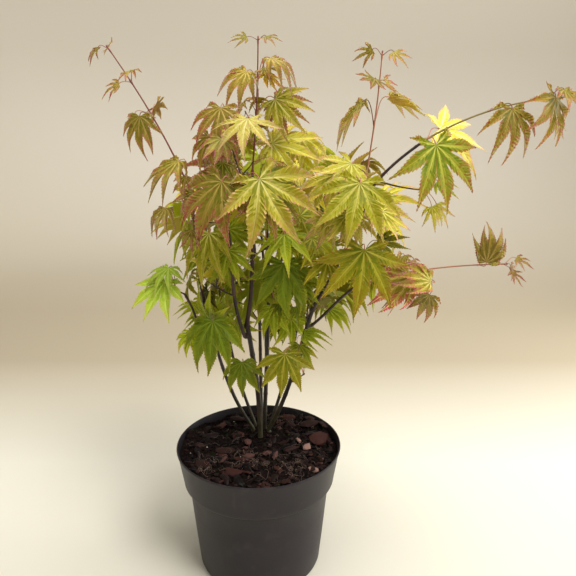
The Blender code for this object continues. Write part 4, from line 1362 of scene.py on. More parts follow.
class MeshBuffer:
    """Arrays of vertices, faces and finishes that become one joined mesh."""

    def __init__(self) -> None:
        """Start empty."""
        self.vertices: list[np.ndarray] = []
        self.corners: list[np.ndarray] = []
        self.sizes: list[np.ndarray] = []
        self.slots: list[np.ndarray] = []
        self.finishes: list[PlainFinish] = []
        self.count = 0

    def slot(self, finish: PlainFinish) -> int:
        """Number of a finish's slot."""
        if finish not in self.finishes:
            self.finishes.append(finish)
        return self.finishes.index(finish)

    def add(self, vertices: np.ndarray, corners: np.ndarray, sizes: np.ndarray, slots: np.ndarray) -> None:
        """Add a shape.

        Args:
            vertices: Its vertices.
            corners: The corners of all its faces in a row.
            sizes: How many corners each face has.
            slots: Each face's slot.
        """
        self.vertices.append(vertices)
        self.corners.append(corners + self.count)
        self.sizes.append(sizes)
        self.slots.append(slots)
        self.count += len(vertices)

    def add_tube(self, points: np.ndarray, radii: np.ndarray, sides: int, slot: int) -> None:
        """Add a closed tube, pointed at its far end if the last radius is nothing.

        Args:
            points: Its axis.
            radii: Its radius at each point.
            sides: How many sides it has.
            slot: Its faces' slot.
        """
        ways = np.gradient(points, axis=0)
        ways /= np.linalg.norm(ways, axis=1)[:, None] + 1e-12
        across = np.cross(ways[0], (0.0, 0.0, 1.0) if abs(ways[0][2]) < 0.9 else (1.0, 0.0, 0.0))
        angles = 2 * np.pi * np.arange(sides) / sides
        rings = []
        for centre, way, radius in zip(points, ways, radii):
            across = across - way * across.dot(way)
            across /= np.linalg.norm(across) + 1e-12
            beside = np.cross(way, across)
            ring = np.cos(angles)[:, None] * across + np.sin(angles)[:, None] * beside
            rings.append(centre + ring * max(radius, 1e-5))
        side = np.arange(sides)
        quads = []
        for ring in range(len(points) - 1):
            here, there = ring * sides + side, ring * sides + (side + 1) % sides
            quads.append(np.stack([here, there, there + sides, here + sides], axis=1))
        corners = np.concatenate([np.concatenate(quads).ravel(), side[::-1], len(points) * sides - sides + side])
        sizes = np.array([4] * (sides * (len(points) - 1)) + [sides, sides])
        self.add(np.concatenate(rings), corners, sizes, np.full(len(sizes), slot))

    def piece(self, name: str, smooth: float = 50.0) -> bpy.types.Object:
        """Make the joined mesh.

        Args:
            name: The piece's name.
            smooth: Angle in degrees past which an edge looks sharp.

        Returns:
            The object.
        """
        vertices = np.concatenate(self.vertices).astype(np.float32)
        corners, sizes = np.concatenate(self.corners), np.concatenate(self.sizes)
        mesh = bpy.data.meshes.new(name)
        mesh.vertices.add(len(vertices))
        mesh.vertices.foreach_set("co", vertices.ravel())
        mesh.loops.add(len(corners))
        mesh.loops.foreach_set("vertex_index", corners.astype(np.int32))
        mesh.polygons.add(len(sizes))
        starts = np.concatenate([[0], np.cumsum(sizes)[:-1]])
        mesh.polygons.foreach_set("loop_start", starts.astype(np.int32))
        for finish in self.finishes:
            mesh.materials.append(finish.material())
        mesh.polygons.foreach_set("material_index", np.concatenate(self.slots).astype(np.int32))
        mesh.update(calc_edges=True)
        mesh.validate()
        mesh.shade_smooth()
        mesh.set_sharp_from_angle(angle=math.radians(smooth))
        made = bpy.data.objects.new(name, mesh)
        bpy.context.scene.collection.objects.link(made)
        return made


# --------------------------------------------------------------------------- foliage


GREEN = Tint("green", (114, 128, 36), (74, 92, 5), (92, 105, 7), (98, 109, 11), (108, 106, 18),
             (120, 94, 30), (100, 112, 20))
LIME = Tint("lime", (182, 190, 68), (112, 132, 8), (146, 158, 15), (156, 162, 24), (168, 154, 44),
            (168, 112, 56), (150, 160, 30))
CITRON = Tint("citron", (236, 226, 116), (142, 144, 15), (182, 178, 32), (196, 178, 48), (206, 156, 80),
              (188, 102, 80), (180, 172, 40))
GOLD = Tint("gold", (242, 230, 138), (142, 144, 16), (198, 184, 48), (222, 184, 92), (216, 142, 110),
            (188, 80, 90), (190, 170, 50))
CREAM = Tint("cream", (240, 226, 150), (186, 174, 52), (208, 188, 78), (208, 170, 98), (206, 128, 112),
             (194, 90, 96), (208, 192, 86))
LEMON = Tint("lemon", (250, 244, 150), (184, 178, 24), (228, 214, 54), (236, 204, 90), (226, 162, 112),
             (200, 100, 92), (220, 202, 56))
BRONZE = Tint("bronze", (184, 166, 88), (108, 110, 14), (138, 122, 36), (158, 102, 56), (160, 64, 74),
              (130, 34, 56), (150, 126, 46))
COPPER = Tint("copper", (174, 148, 78), (104, 104, 20), (130, 112, 37), (154, 84, 58), (152, 48, 66),
              (120, 28, 52), (148, 114, 50))
RUSSET = Tint("russet", (172, 132, 76), (100, 84, 20), (128, 88, 36), (134, 56, 48), (130, 36, 56),
              (102, 24, 46), (138, 92, 52))
UMBER = Tint("umber", (160, 138, 70), (94, 94, 14), (118, 103, 31), (138, 82, 50), (144, 54, 64),
             (118, 30, 52), (130, 106, 44))
ROSY = Tint("rosy", (190, 164, 90), (118, 110, 24), (142, 118, 42), (162, 88, 66), (164, 54, 76),
            (140, 32, 64), (150, 116, 56))
BLUSH = Tint("blush", (226, 210, 126), (142, 140, 28), (178, 158, 55), (196, 116, 84), (192, 72, 94),
             (156, 40, 74), (180, 152, 72))
SPRING = Tint("spring", (184, 203, 94), (138, 164, 40), (157, 180, 52), (166, 178, 62), (178, 162, 76),
              (168, 122, 72), (162, 176, 66))
MELLOW = Tint("mellow", (182, 180, 80), (90, 110, 10), (123, 127, 25), (142, 116, 40), (140, 80, 52),
              (110, 44, 44), (128, 124, 40))
DUSK = Tint("dusk", (190, 182, 68), (106, 117, 5), (142, 136, 11), (150, 134, 18), (148, 104, 36),
            (124, 64, 38), (136, 130, 23))
# A darker copy of the greens, dealt to the leaves deep inside the crown: painted shade.
OLIVE = Tint("olive", (126, 124, 34), (64, 72, 2), (82, 86, 4), (94, 86, 10), (106, 80, 22),
             (102, 60, 28), (94, 94, 18))
# The tints whose red reaches further in from the lobes' tips
FLUSHED = (BRONZE, COPPER, RUSSET, UMBER, ROSY, BLUSH)

# The tints of each shoot's leaves: those of its large leaves in order, then those dealt out among the rest.
TINTS = {
    "centre_front_spray": ((GOLD, UMBER), (MELLOW, BRONZE)),
    "upper_left_spray": ((ROSY, CREAM), (BRONZE, BLUSH, COPPER)),
    "apex_spray": ((ROSY, ROSY, GOLD, GOLD), (COPPER, ROSY, BRONZE)),
    "centre_top_spray": ((LEMON,), (LEMON, CITRON)),
    "right_crown_spray": ((CITRON, LEMON), (GOLD, CITRON)),
    "right_middle_spray": ((DUSK,), (DUSK, OLIVE)),
    "centre_middle_spray": ((GREEN,), (GREEN, LIME)),
    "arch_tip_spray": ((MELLOW, CREAM, COPPER, COPPER), (COPPER, BLUSH)),
    "upright_spray": ((BRONZE, BLUSH), (COPPER, ROSY)),
    "drooping_spray": ((BLUSH, BLUSH, COPPER, ROSY, ROSY), (COPPER, BLUSH, RUSSET)),
    "right_outer_spray": ((LEMON,), (LEMON, LIME)),
    "left_long_spray": ((COPPER,), (ROSY, COPPER)),
    "left_upper_spray": ((UMBER,), (ROSY, BRONZE)),
    "left_middle_spray": ((CITRON,), (LIME, DUSK)),
    "left_low_spray": ((SPRING,), (SPRING, LIME)),
    "left_bottom_spray": ((GREEN,), (GREEN, LIME)),
    "low_left_spray": ((GREEN,), (GREEN, LIME)),
    "low_right_spray": ((DUSK, GREEN), (GREEN, LIME)),
    "right_inner_spray": ((), (DUSK, LIME, OLIVE)),
    "rear_top_spray": ((), (LEMON, CITRON, LIME)),
    "rear_middle_spray": ((), (LIME, GOLD)),
    "rear_right_spray": ((), (GOLD, LIME, BRONZE)),
    "rear_left_spray": ((), (BRONZE, GOLD, LIME)),
    "rear_low_spray": ((), (GREEN, LIME)),
    "left_rear_low_spray": ((), (GREEN, LIME)),
    "right_rear_low_spray": ((), (GREEN, OLIVE)),
    "crown_back_spray": ((), (LEMON, CITRON)),
    "inner_left_spray": ((), (LIME, LEMON)),
    "inner_back_spray": ((), (OLIVE, LIME)),
    "crown_centre_spray": ((), (DUSK, LIME, GREEN)),
    "left_inner_spray": ((), (DUSK, OLIVE)),
    "back_centre_spray": ((), (LIME, GREEN)),
    "right_back_spray": ((), (DUSK, LIME)),
    "rear_side_spray": ((), (GREEN, LIME)),
    "right_shoulder_spray": ((), (CITRON, GOLD)),
    "left_shoulder_spray": ((), (LIME, GOLD)),
}


class TwigTone(Enum):
    """What the bark of the youngest wood and of the leaf stalks looks like."""

    RED = PlainFinish("young_wood_red", (124, 62, 50), 0.45, 0.5)
    PINK = PlainFinish("young_wood_pink", (176, 112, 84), 0.45, 0.5)
    OLIVE = PlainFinish("young_wood_olive", (128, 112, 54), 0.5, 0.5)
    DARK = PlainFinish("young_wood_dark", (58, 38, 32), 0.5, 0.5)


# Along a bud, its radii; along a stalk, its girth from its swollen root to the blade
BUD_REACH, BUD_RADII = (-0.0006, 0.0004, 0.0014, 0.0024), (0.0006, 0.00095, 0.0007, 0.0)
STALK_WAIST, STALK_SWELL = (0, 0.08, 0.2, 0.85, 1), (1.7, 1.3, 0.9, 0.8, 1.1)
# Shoots that stay open, without finer twigs
OPEN_SHOOTS = ("arch_tip_spray", "upright_spray", "right_outer_spray", "left_long_spray")
TWIG_TONES = {"arch_tip_spray": TwigTone.OLIVE, "upright_spray": TwigTone.PINK, "drooping_spray": TwigTone.PINK,
              "left_long_spray": TwigTone.RED, "apex_spray": TwigTone.RED}


def ring_places(radius: float, around: int) -> list[tuple[float, float]]:
    """Places of a ring's vertices."""
    angles = [2 * math.pi * step / around for step in range(around)]
    return [(radius * math.cos(angle), radius * math.sin(angle)) for angle in angles]


def disc_faces(rings: int, around: int, closed: bool) -> tuple[np.ndarray, np.ndarray]:
    """Faces that join rings of vertices round a first vertex.

    Args:
        rings: How many rings there are.
        around: How many vertices each has.
        closed: Whether one last vertex closes the far end.

    Returns:
        The corners of all faces in a row, and the faces' sizes.
    """
    step = np.arange(around)
    after = (step + 1) % around
    faces = [np.stack([np.zeros(around, int), 1 + step, 1 + after], axis=1)]
    for ring in range(rings - 1):
        here = 1 + ring * around
        there = here + around
        faces.append(np.stack([here + step, there + step, there + after, here + after], axis=1))
    if closed:
        final = 1 + (rings - 1) * around
        faces.append(np.stack([final + step, np.full(around, final + around), final + after], axis=1))
    corners = np.concatenate([face.ravel() for face in faces])
    return corners, np.concatenate([np.full(len(face), face.shape[1]) for face in faces])


def smoothed(points: Sequence[Vector], parts: int) -> np.ndarray:
    """Points of a smooth curve through given ones.

    Args:
        points: The given points.
        parts: How many parts a stretch between two of them gets.

    Returns:
        The curve's points.
    """
    given = np.array([tuple(point) for point in points])
    padded = np.vstack([2 * given[0] - given[1], given, 2 * given[-1] - given[-2]])
    found = []
    for index in range(1, len(padded) - 2):
        a, b, c, d = padded[index - 1 : index + 3]
        for step in range(parts):
            t = step / parts
            found.append(0.5 * (2 * b + (c - a) * t + (2 * a - 5 * b + 4 * c - d) * t * t
                                + (3 * b - a - 3 * c + d) * t**3))
    found.append(given[-1])
    return np.array(found)


@dataclass(frozen=True)
class Habit:
    """How one leaf is held: how far its lobes close up, hang and fold, its scale and its lobes' breadth."""

    gather: float
    hang: float
    fold: float
    scale: float = 1.0
    broad: float = 1.0


# The leaves that are held in a way of their own, by spray and number
HABITS = {(shoot, number): Habit(*row) for shoot, rows in {
    "centre_front_spray": {0: (0.0, 0.05, 1.3, 1.0, 1.2), 1: (0.12, 0.10, 0.9, 0.95, 1.15)},
    "left_bottom_spray": {0: (0.36, 0.10, 0.7, 1.0, 1.2), 1: (0.30, 0.10, 0.9, 0.75)},
    "left_middle_spray": {0: (0.34, 0.10, 0.8)},
    "low_left_spray": {0: (0.22, 0.10, 0.5, 1.0, 1.3)},
    "low_right_spray": {0: (0.10, 0.10, 0.5, 1.0, 1.3), 1: (0.50, 0.60, 0.9, 0.90)},
    "left_low_spray": {0: (0.06, 0.05, 0.6, 1.0, 1.3), 1: (0.30, 0.30, 0.9, 0.62)},
    "left_rear_low_spray": {0: (0.30, 0.10, 0.9, 0.75)},
    "arch_tip_spray": {0: (-0.04, 0.0, 1.1, 0.95, 1.2), 1: (0.02, 0.0, 0.3, 1.15), 2: (0.22, 0.15, 1.0, 0.88)},
    "right_crown_spray": {0: (0.08, 0.05, 1.1, 0.97, 1.2)},
    "right_middle_spray": {0: (0.0, 0.05, 0.6, 1.0, 1.2)},
    "right_inner_spray": {0: (0.40, 0.15, 1.0, 0.70), 1: (0.40, 0.15, 1.0, 0.70)},
    "centre_middle_spray": {0: (0.14, 0.05, 0.7, 0.95, 1.2), 1: (0.25, 0.10, 0.8, 0.80)},
    "centre_top_spray": {2: (0.20, 0.20, 0.8, 0.80), 3: (0.34, 0.25, 0.9, 0.64)},
    "drooping_spray": {0: (0.44, -0.40, 1.2, 0.95), 1: (0.56, 0.0, 1.6, 0.9), 2: (0.40, -0.25, 1.1),
                       3: (0.56, -0.05, 1.6, 0.84)},
    "left_long_spray": {0: (0.28, 0.05, 0.9, 0.82)},
    "upright_spray": {0: (0.34, 0.0, 1.2, 0.95), 1: (0.46, -0.10, 1.2, 0.78)},
    "left_upper_spray": {0: (0.34, 0.15, 1.0, 0.82), 1: (0.42, 0.25, 1.2, 0.62)},
    "rear_left_spray": {1: (0.30, 0.10, 0.9, 0.75), 2: (0.30, 0.10, 0.9, 0.75), 5: (0.36, 0.25, 0.9, 0.66)},
    "rear_middle_spray": {7: (0.36, -0.50, 0.9, 0.66)},
    "rear_side_spray": {8: (0.42, 0.30, 1.0, 0.62)},
    "upper_left_spray": {6: (0.36, 0.25, 0.9, 0.66)},
    "apex_spray": {0: (0.30, 0.30, 1.2, 0.85), 1: (0.34, 0.40, 1.2, 0.85), 15: (0.40, 0.35, 1.1, 0.66)},
}.items() for number, row in rows.items()}
# Sizes of the leaves on the finer twigs, and on those of shoots whose growth is young
GROWTH = (0.034, 0.052)
YOUNG_GROWTH = {"drooping_spray": (0.022, 0.034), "apex_spray": (0.024, 0.034)}


@dataclass
class Foliage:
    """Every spray's leaves and twigs, grown by the plant's rule and carried on to its finest twigs."""

    growth: Growth
    stalk_radius: float = 0.00055
    stalk_sides: int = 6
    twig_sides: int = 8
    kinds: int = 5
    blades: dict[str, list[Blade]] = field(default_factory=dict)

    def cut_blades(self) -> None:
        """Cut a few blades of each outline, for the leaves to share."""
        rng = np.random.default_rng(7)
        for name, outline in (("fine", FINE), ("small", SMALL), ("young", YOUNG)):
            self.blades[name] = [Blade(outline, rng) for _ in range(self.kinds)]

    def blade_of(self, leaf: Leaf, rng: Draws) -> Blade:
        """A blade that suits a leaf's size."""
        name = "young" if leaf.size < self.growth.young_under else "small" if leaf.size < SMALL_UNDER else "fine"
        return self.blades[name][int(rng.integers(self.kinds))]

    def bend(self, blade: Blade, leaf: Leaf, habit: Optional[Habit], rng: Draws) -> np.ndarray:
        """Vertices of a leaf's blade, each lobe with a bend, hang and twist of its own.

        Args:
            blade: The blade it is cut as.
            leaf: Its place, size and droop.
            habit: How it is held, if not like the others of its size.
            rng: Random numbers.

        Returns:
            The vertices in place.
        """
        lobes = len(blade.turns)
        tender = leaf.size < TENDER
        if habit is None:
            fold = rng.uniform(0.25, 0.95) + 0.3 * tender
            habit = Habit(rng.uniform(-0.04, 0.14) + 0.17 * tender, rng.uniform(0.0, 0.2) - 0.2 * tender, fold)
        sway, hang = rng.uniform(-0.12, 0.12, lobes), habit.hang + rng.uniform(-0.10, 0.14, lobes)
        twist = rng.uniform(-0.8, 0.8, lobes)
        share, side, lobe = blade.share, blade.side, blade.lobe_of
        spread = np.array(blade.turns)[lobe]
        across = blade.flat[:, 0] * np.cos(spread) + blade.flat[:, 1] * np.sin(spread)
        grow = (habit.broad - 1) * np.minimum(share * 2.5, 1.0) * across
        flat = blade.flat + np.stack([grow * np.cos(spread), grow * np.sin(spread)], axis=1)
        turn = sway[lobe] * share**2 - spread * habit.gather * (0.35 + 0.65 * share)
        x = flat[:, 0] * np.cos(turn) - flat[:, 1] * np.sin(turn)
        y = flat[:, 0] * np.sin(turn) + flat[:, 1] * np.cos(turn)
        wide = 0.11 * (1 - share)
        z = blade.lift - (0.7 * leaf.droop - 0.2 * tender) * blade.far**2 - hang[lobe] * share**2
        z += wide * (habit.fold * np.abs(side) ** 1.2 + twist[lobe] * side * share)
        z += 0.007 * np.sin(9 * share + 5 * lobe + rng.uniform(0, 6)) * side**2
        local = np.stack([x, y + SEAT, z], axis=1) * leaf.size * habit.scale
        frame = np.array(blade_frame(leaf))
        return local @ frame[:3, :3].T + frame[:3, 3]

    def colours(self, blade: Blade, leaf: Leaf, tint: Tint, buffer: MeshBuffer,
                rng: Draws) -> np.ndarray:
        """Slot of every face of a leaf.

        Args:
            blade: The blade it is cut as.
            leaf: The leaf.
            tint: Its tint.
            buffer: The joined mesh it becomes part of.
            rng: Random numbers.

        Returns:
            The slots' numbers.
        """
        zone, share = blade.zone.copy(), blade.zone_share
        dither = rng.uniform(-1, 1, len(zone))
        ripe = rng.uniform(-0.14, 0.14) + TENDER_RIPE * (leaf.size < TENDER) + FLUSHED_RIPE * (tint in FLUSHED)
        face = (zone != Zone.UNDER.value) & (zone != Zone.VEIN.value)
        web, margin = face & (share < 0), zone == Zone.EDGE.value
        plain, edges = face & ~web & ~margin & (zone != Zone.TIP.value), face & ~web & margin
        band = (zone == Zone.BAND.value) & (dither + 1.2 * share < 1.1) & (dither > -0.5)
        # Each zone's faces, in the order in which they cover each other: from the hub out, then the margins
        for faces, kind in (
            (web & (dither > -0.6), Zone.HEART),
            (plain & (share < 0.34 + 0.26 * dither), Zone.INNER),
            (plain & (share < 0.08 + 0.12 * dither), Zone.HEART),
            (plain & (share + 0.24 * dither > 0.58 - ripe), Zone.OUTER),
            (plain & (share + 0.16 * dither > 0.78 - ripe), Zone.RIM),
            (plain & (share + 0.12 * dither > 0.88 - ripe), Zone.EDGE),
            (edges & (share + 0.36 * dither < 0.66 - ripe), Zone.RIM),
            (edges & (share + 0.36 * dither < 0.38 - ripe), Zone.OUTER),
            (edges & (share + 0.20 * dither < 0.12 - ripe), Zone.BLADE),
            (face & (share + 0.06 * dither > 0.93 - 0.5 * ripe), Zone.TIP),
            (band, Zone.BAND),
        ):
            zone[faces] = kind.value
        zone[(zone == Zone.STRIPE.value) & (dither < -0.3)] = Zone.BLADE.value
        tone = int(rng.choice(len(TONES), p=TENDER_TONES if leaf.size < TENDER else GROWN_TONES))
        table = np.zeros(len(Zone), int)
        for kind in Zone:
            if (zone == kind.value).any():
                table[kind.value] = buffer.slot(tint.finish(kind, tone))
        return table[zone]

    def add_leaf(self, leaf: Leaf, tint: Tint, habit: Optional[Habit], leaves: MeshBuffer, wood: MeshBuffer,
                 rng: Draws) -> None:
        """Add one leaf's blade and stalk to its spray's two pieces.

        Args:
            leaf: The leaf.
            tint: Its tint.
            habit: How it is held, if in a way of its own.
            leaves: The joined blades.
            wood: The joined stalks and twigs.
            rng: Random numbers.
        """
        blade = self.blade_of(leaf, rng)
        vertices = self.bend(blade, leaf, habit, rng)
        leaves.add(vertices, blade.corners, blade.sizes, self.colours(blade, leaf, tint, leaves, rng))
        frame = blade_frame(leaf)
        points = bezier(leaf.root, leaf.out, leaf.hub, leaf.along, 8)
        points[0] = points[0] - leaf.out * 0.0004
        points.append(frame @ Vector((0, SEAT * leaf.size, -0.006 * leaf.size)))
        scale = (leaf.size / 0.05) ** 0.5
        thick = np.interp(np.linspace(0, 1, len(points)), STALK_WAIST, STALK_SWELL)
        tone = TwigTone.RED if tint in (COPPER, RUSSET, BRONZE) else TwigTone.PINK
        tone = TwigTone.OLIVE if tint in (GREEN, OLIVE, SPRING) else tone
        wood.add_tube(np.array([tuple(point) for point in points]), thick * self.stalk_radius * scale,
                      self.stalk_sides, wood.slot(tone.value))

    def add_twig(self, twig: Path, nodes: list[Vector], tone: TwigTone, wood: MeshBuffer) -> None:
        """Add a twig, swollen where leaves leave it, with its end bud.

        Args:
            twig: Its axis.
            nodes: Where leaves leave the spray's twigs.
            tone: Its bark's tone.
            wood: The joined stalks and twigs.
        """
        first = twig.points[0] - (twig.points[1] - twig.points[0]).normalized() * 0.0016
        points = smoothed([first, *twig.points[1:]], 6)
        shares = np.linspace(0, 1, len(points))
        radii = twig.radii[0] + (twig.radii[-1] - twig.radii[0]) * shares
        for node in nodes:
            away = np.linalg.norm(points - np.array(tuple(node)), axis=1)
            radii = radii + 0.00035 * np.exp(-((away / 0.0016) ** 2))
        away = np.linalg.norm(points - points[0], axis=1)
        radii = radii * (1 + 0.5 * np.exp(-((away / 0.0035) ** 2)))
        wood.add_tube(points, radii, self.twig_sides, wood.slot(tone.value))
        way = (points[-1] - points[-2]) / np.linalg.norm(points[-1] - points[-2])
        bud = np.array([points[-1] + way * far for far in BUD_REACH])
        wood.add_tube(bud, np.array(BUD_RADII), self.stalk_sides, wood.slot(TwigTone.RED.value))

    def build(self) -> list[bpy.types.Object]:
        """Make the leaves and the twigs of every spray.

        Returns:
            The pieces.
        """
        self.cut_blades()
        made = []
        for order, shoot in enumerate(SHOOTS):
            rng = np.random.default_rng(100 + order)
            leaves, wood = MeshBuffer(), MeshBuffer()
            large, rest = TINTS[shoot.name]
            grown = self.growth.leaves[shoot.name]
            for index, leaf in enumerate(grown):
                tint = large[index] if index < len(large) else rest[int(rng.integers(len(rest)))]
                habit = HABITS.get((shoot.name, index))
                self.add_leaf(leaf, tint, habit, leaves, wood, rng)
            nodes = [leaf.root for leaf in grown]
            for twig in self.growth.twigs[shoot.name]:
                self.add_twig(twig, nodes, TWIG_TONES.get(shoot.name, TwigTone.DARK), wood)
            for kind, buffer, smooth in (("leaves", leaves, 50.0), ("twigs", wood, 70.0)):
                if not buffer.count:
                    continue
                piece = buffer.piece(f"{shoot.name}_{kind}", smooth)
                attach(piece, BODY)
                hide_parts(shoot.name)
                made.append(piece)
        return made


# --------------------------------------------------------------------------- stems and boughs


@dataclass(frozen=True)
class BarkFinish:
    """Smooth maple bark: dark and purplish where it is young, greener at the foot, dotted with pale pores."""

    name: str
    young: Colour
    old: Colour
    foot: Colour
    pores: Colour

    def material(self) -> bpy.types.Material:
        """Make the bark's material.

        Returns:
            The material.
        """
        shader = Shader(self.name)
        height = shader.axis(2)
        grain = shader.speckle(260.0, 4.0, (1.0, 1.0, 0.12))
        patches = shader.speckle(45.0, 3.0)
        bark = shader.mix(patches.ramp(0.36, 0.64), self.old, self.young)
        low = (1.0 - height.ramp(0.150, 0.215)) * patches.ramp(0.30, 0.55)
        bark = shader.mix(low, bark, self.foot)
        bark = shader.mix(grain.ramp(0.50, 0.72) * 0.35, bark, blended(self.young, (220, 200, 180), 0.3))
        cells = shader.node("ShaderNodeTexVoronoi", {"feature": "F1"},
                            {"Vector": shader.place((1.0, 1.0, 0.55)), "Scale": 420.0}, "Distance")
        pores = (1.0 - cells.ramp(0.10, 0.20)) * shader.speckle(90.0).ramp(0.48, 0.56)
        bark = shader.mix(pores * 0.7, bark, self.pores)
        relief = grain * 0.6 + pores * 0.8 + shader.speckle(900.0) * 0.3
        return shader.finish(Base_Color=bark, Roughness=grain.ramp(0.2, 0.8) * 0.25 + 0.38,
                             Normal=shader.relief(relief, 0.00012))


@dataclass
class Wood:
    """Stems and boughs with rounded sections, node rings and swollen forks."""

    growth: Growth
    sides: int = 16
    step: float = 0.0015
    bough_girth: float = 1.22
    stems: BarkFinish = BarkFinish("stem_bark_finish", (46, 27, 29), (27, 17, 18), (62, 60, 33), (108, 88, 72))
    boughs: BarkFinish = BarkFinish("bough_bark_finish", (62, 34, 33), (36, 21, 22), (70, 60, 38), (124, 96, 78))

    def limb(self, limb: Limb, stem: bool, rng: Draws) -> bpy.types.Object:
        """Build one limb.

        Args:
            limb: Its row in the plan.
            stem: Whether it rises from the mix.
            rng: Random numbers.

        Returns:
            The piece.
        """
        path = self.growth.limbs[limb.name]
        parts = max(3, round(path.length() / len(path.points) / self.step))
        given = list(path.points)
        if not stem:
            given[0] = given[0] - (given[1] - given[0]).normalized() * 0.0018
        points = smoothed(given, parts)
        radii = np.interp(np.linspace(0, 1, len(points)), np.linspace(0, 1, len(path.radii)), path.radii)
        far = np.concatenate([[0], np.cumsum(np.linalg.norm(np.diff(points, axis=0), axis=1))])
        if stem:
            radii = radii * (1 - 0.16 * np.exp(-far / 0.05) + 0.10 * np.exp(-far / 0.004))
        else:
            radii = radii * self.bough_girth * (1 + 0.35 * np.exp(-((far / 0.006) ** 2)))
        place = rng.uniform(0.016, 0.03)
        while place < far[-1]:
            radii = radii * (1 + 0.16 * np.exp(-(((far - place) / 0.0011) ** 2)))
            radii = radii * (1 + 0.05 * np.exp(-(((far - place - 0.003) / 0.0030) ** 2)))
            place += rng.uniform(0.020, 0.042)
        points = np.vstack([points, points[-1] + (points[-1] - points[-2]) * 0.7])
        radii = np.append(radii, radii[-1] * 0.55)
        buffer = MeshBuffer()
        buffer.add_tube(points, radii, self.sides, 0)
        shape = buffer.vertices[0]
        centres = np.repeat(points, self.sides, axis=0)
        for index, (vertex, centre) in enumerate(zip(shape, centres)):
            place = Vector((vertex[0] * 420, vertex[1] * 420, vertex[2] * 70))
            swell = 0.06 * noise.noise(place) + 0.03 * noise.noise(Vector(vertex) * 1400)
            shape[index] = centre + (vertex - centre) * (1 + swell)
        piece = buffer.piece(f"{limb.name}_bark", 75.0)
        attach(piece, BODY)
        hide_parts(limb.name)
        return piece

    def build(self) -> list[bpy.types.Object]:
        """Make every stem and bough.

        Returns:
            The pieces.
        """
        rng = np.random.default_rng(3)
        made = []
        for stem, rows, finish in ((True, STEMS, self.stems), (False, BOUGHS, self.boughs)):
            bark = finish.material()
            for row in rows:
                piece = self.limb(row, stem, rng)
                piece.data.materials.append(bark)
                made.append(piece)
        return made


# --------------------------------------------------------------------------- pot and mix


def put_down() -> None:
    """Deselect everything."""
    bpy.ops.object.select_all(action="DESELECT")


def pick(thing: bpy.types.Object) -> None:
    """Select one object alone and make it the active one."""
    put_down()
    thing.select_set(True)
    bpy.context.view_layer.objects.active = thing


def select_edges(thing: bpy.types.Object, wanted: Callable[[Vector], bool]) -> None:
    """In edit mode, select vertices by their place, and what lies between them.

    Args:
        thing: The object that is edited.
        wanted: Tells whether a place is wanted.
    """
    bpy.ops.mesh.select_all(action="DESELECT")
    shape = bmesh.from_edit_mesh(thing.data)
    for vertex in shape.verts:
        vertex.select = wanted(vertex.co)
    shape.select_flush(True)
    bmesh.update_edit_mesh(thing.data)


@dataclass(frozen=True)
class PlasticFinish:
    """Matt black nursery plastic, with a little dust and fine marks from handling."""

    name: str = "pot_plastic_finish"
    dark: Colour = (33, 28, 32)
    light: Colour = (43, 38, 42)
    dust: Colour = (84, 80, 80)

    def material(self) -> bpy.types.Material:
        """Make the plastic's material.

        Returns:
            The material.
        """
        shader = Shader(self.name)
        height = shader.axis(2)
        clouds = shader.speckle(14.0, 4.0)
        grain = shader.speckle(1500.0, 2.0)
        marks = shader.speckle(120.0, 5.0, (1.0, 1.0, 0.08))
        scuffs = marks.ramp(0.66, 0.74) * clouds.ramp(0.46, 0.60)
        plastic = shader.mix(clouds.ramp(0.35, 0.70), self.dark, self.light)
        dusty = shader.speckle(55.0, 5.0).ramp(0.54, 0.76) * (0.16 + height.ramp(0.138, 0.150) * 0.30)
        plastic = shader.mix(dusty, plastic, self.dust)
        plastic = shader.mix(scuffs * 0.22, plastic, self.dust)
        rough = 0.40 + clouds.ramp(0.3, 0.7) * 0.10 + dusty * 0.5 + scuffs * 0.15
        relief = grain * 0.5 + marks * 0.5
        return shader.finish(Base_Color=plastic, Roughness=rough, Specular_IOR_Level=0.25,
                             Normal=shader.relief(relief, 0.00006))


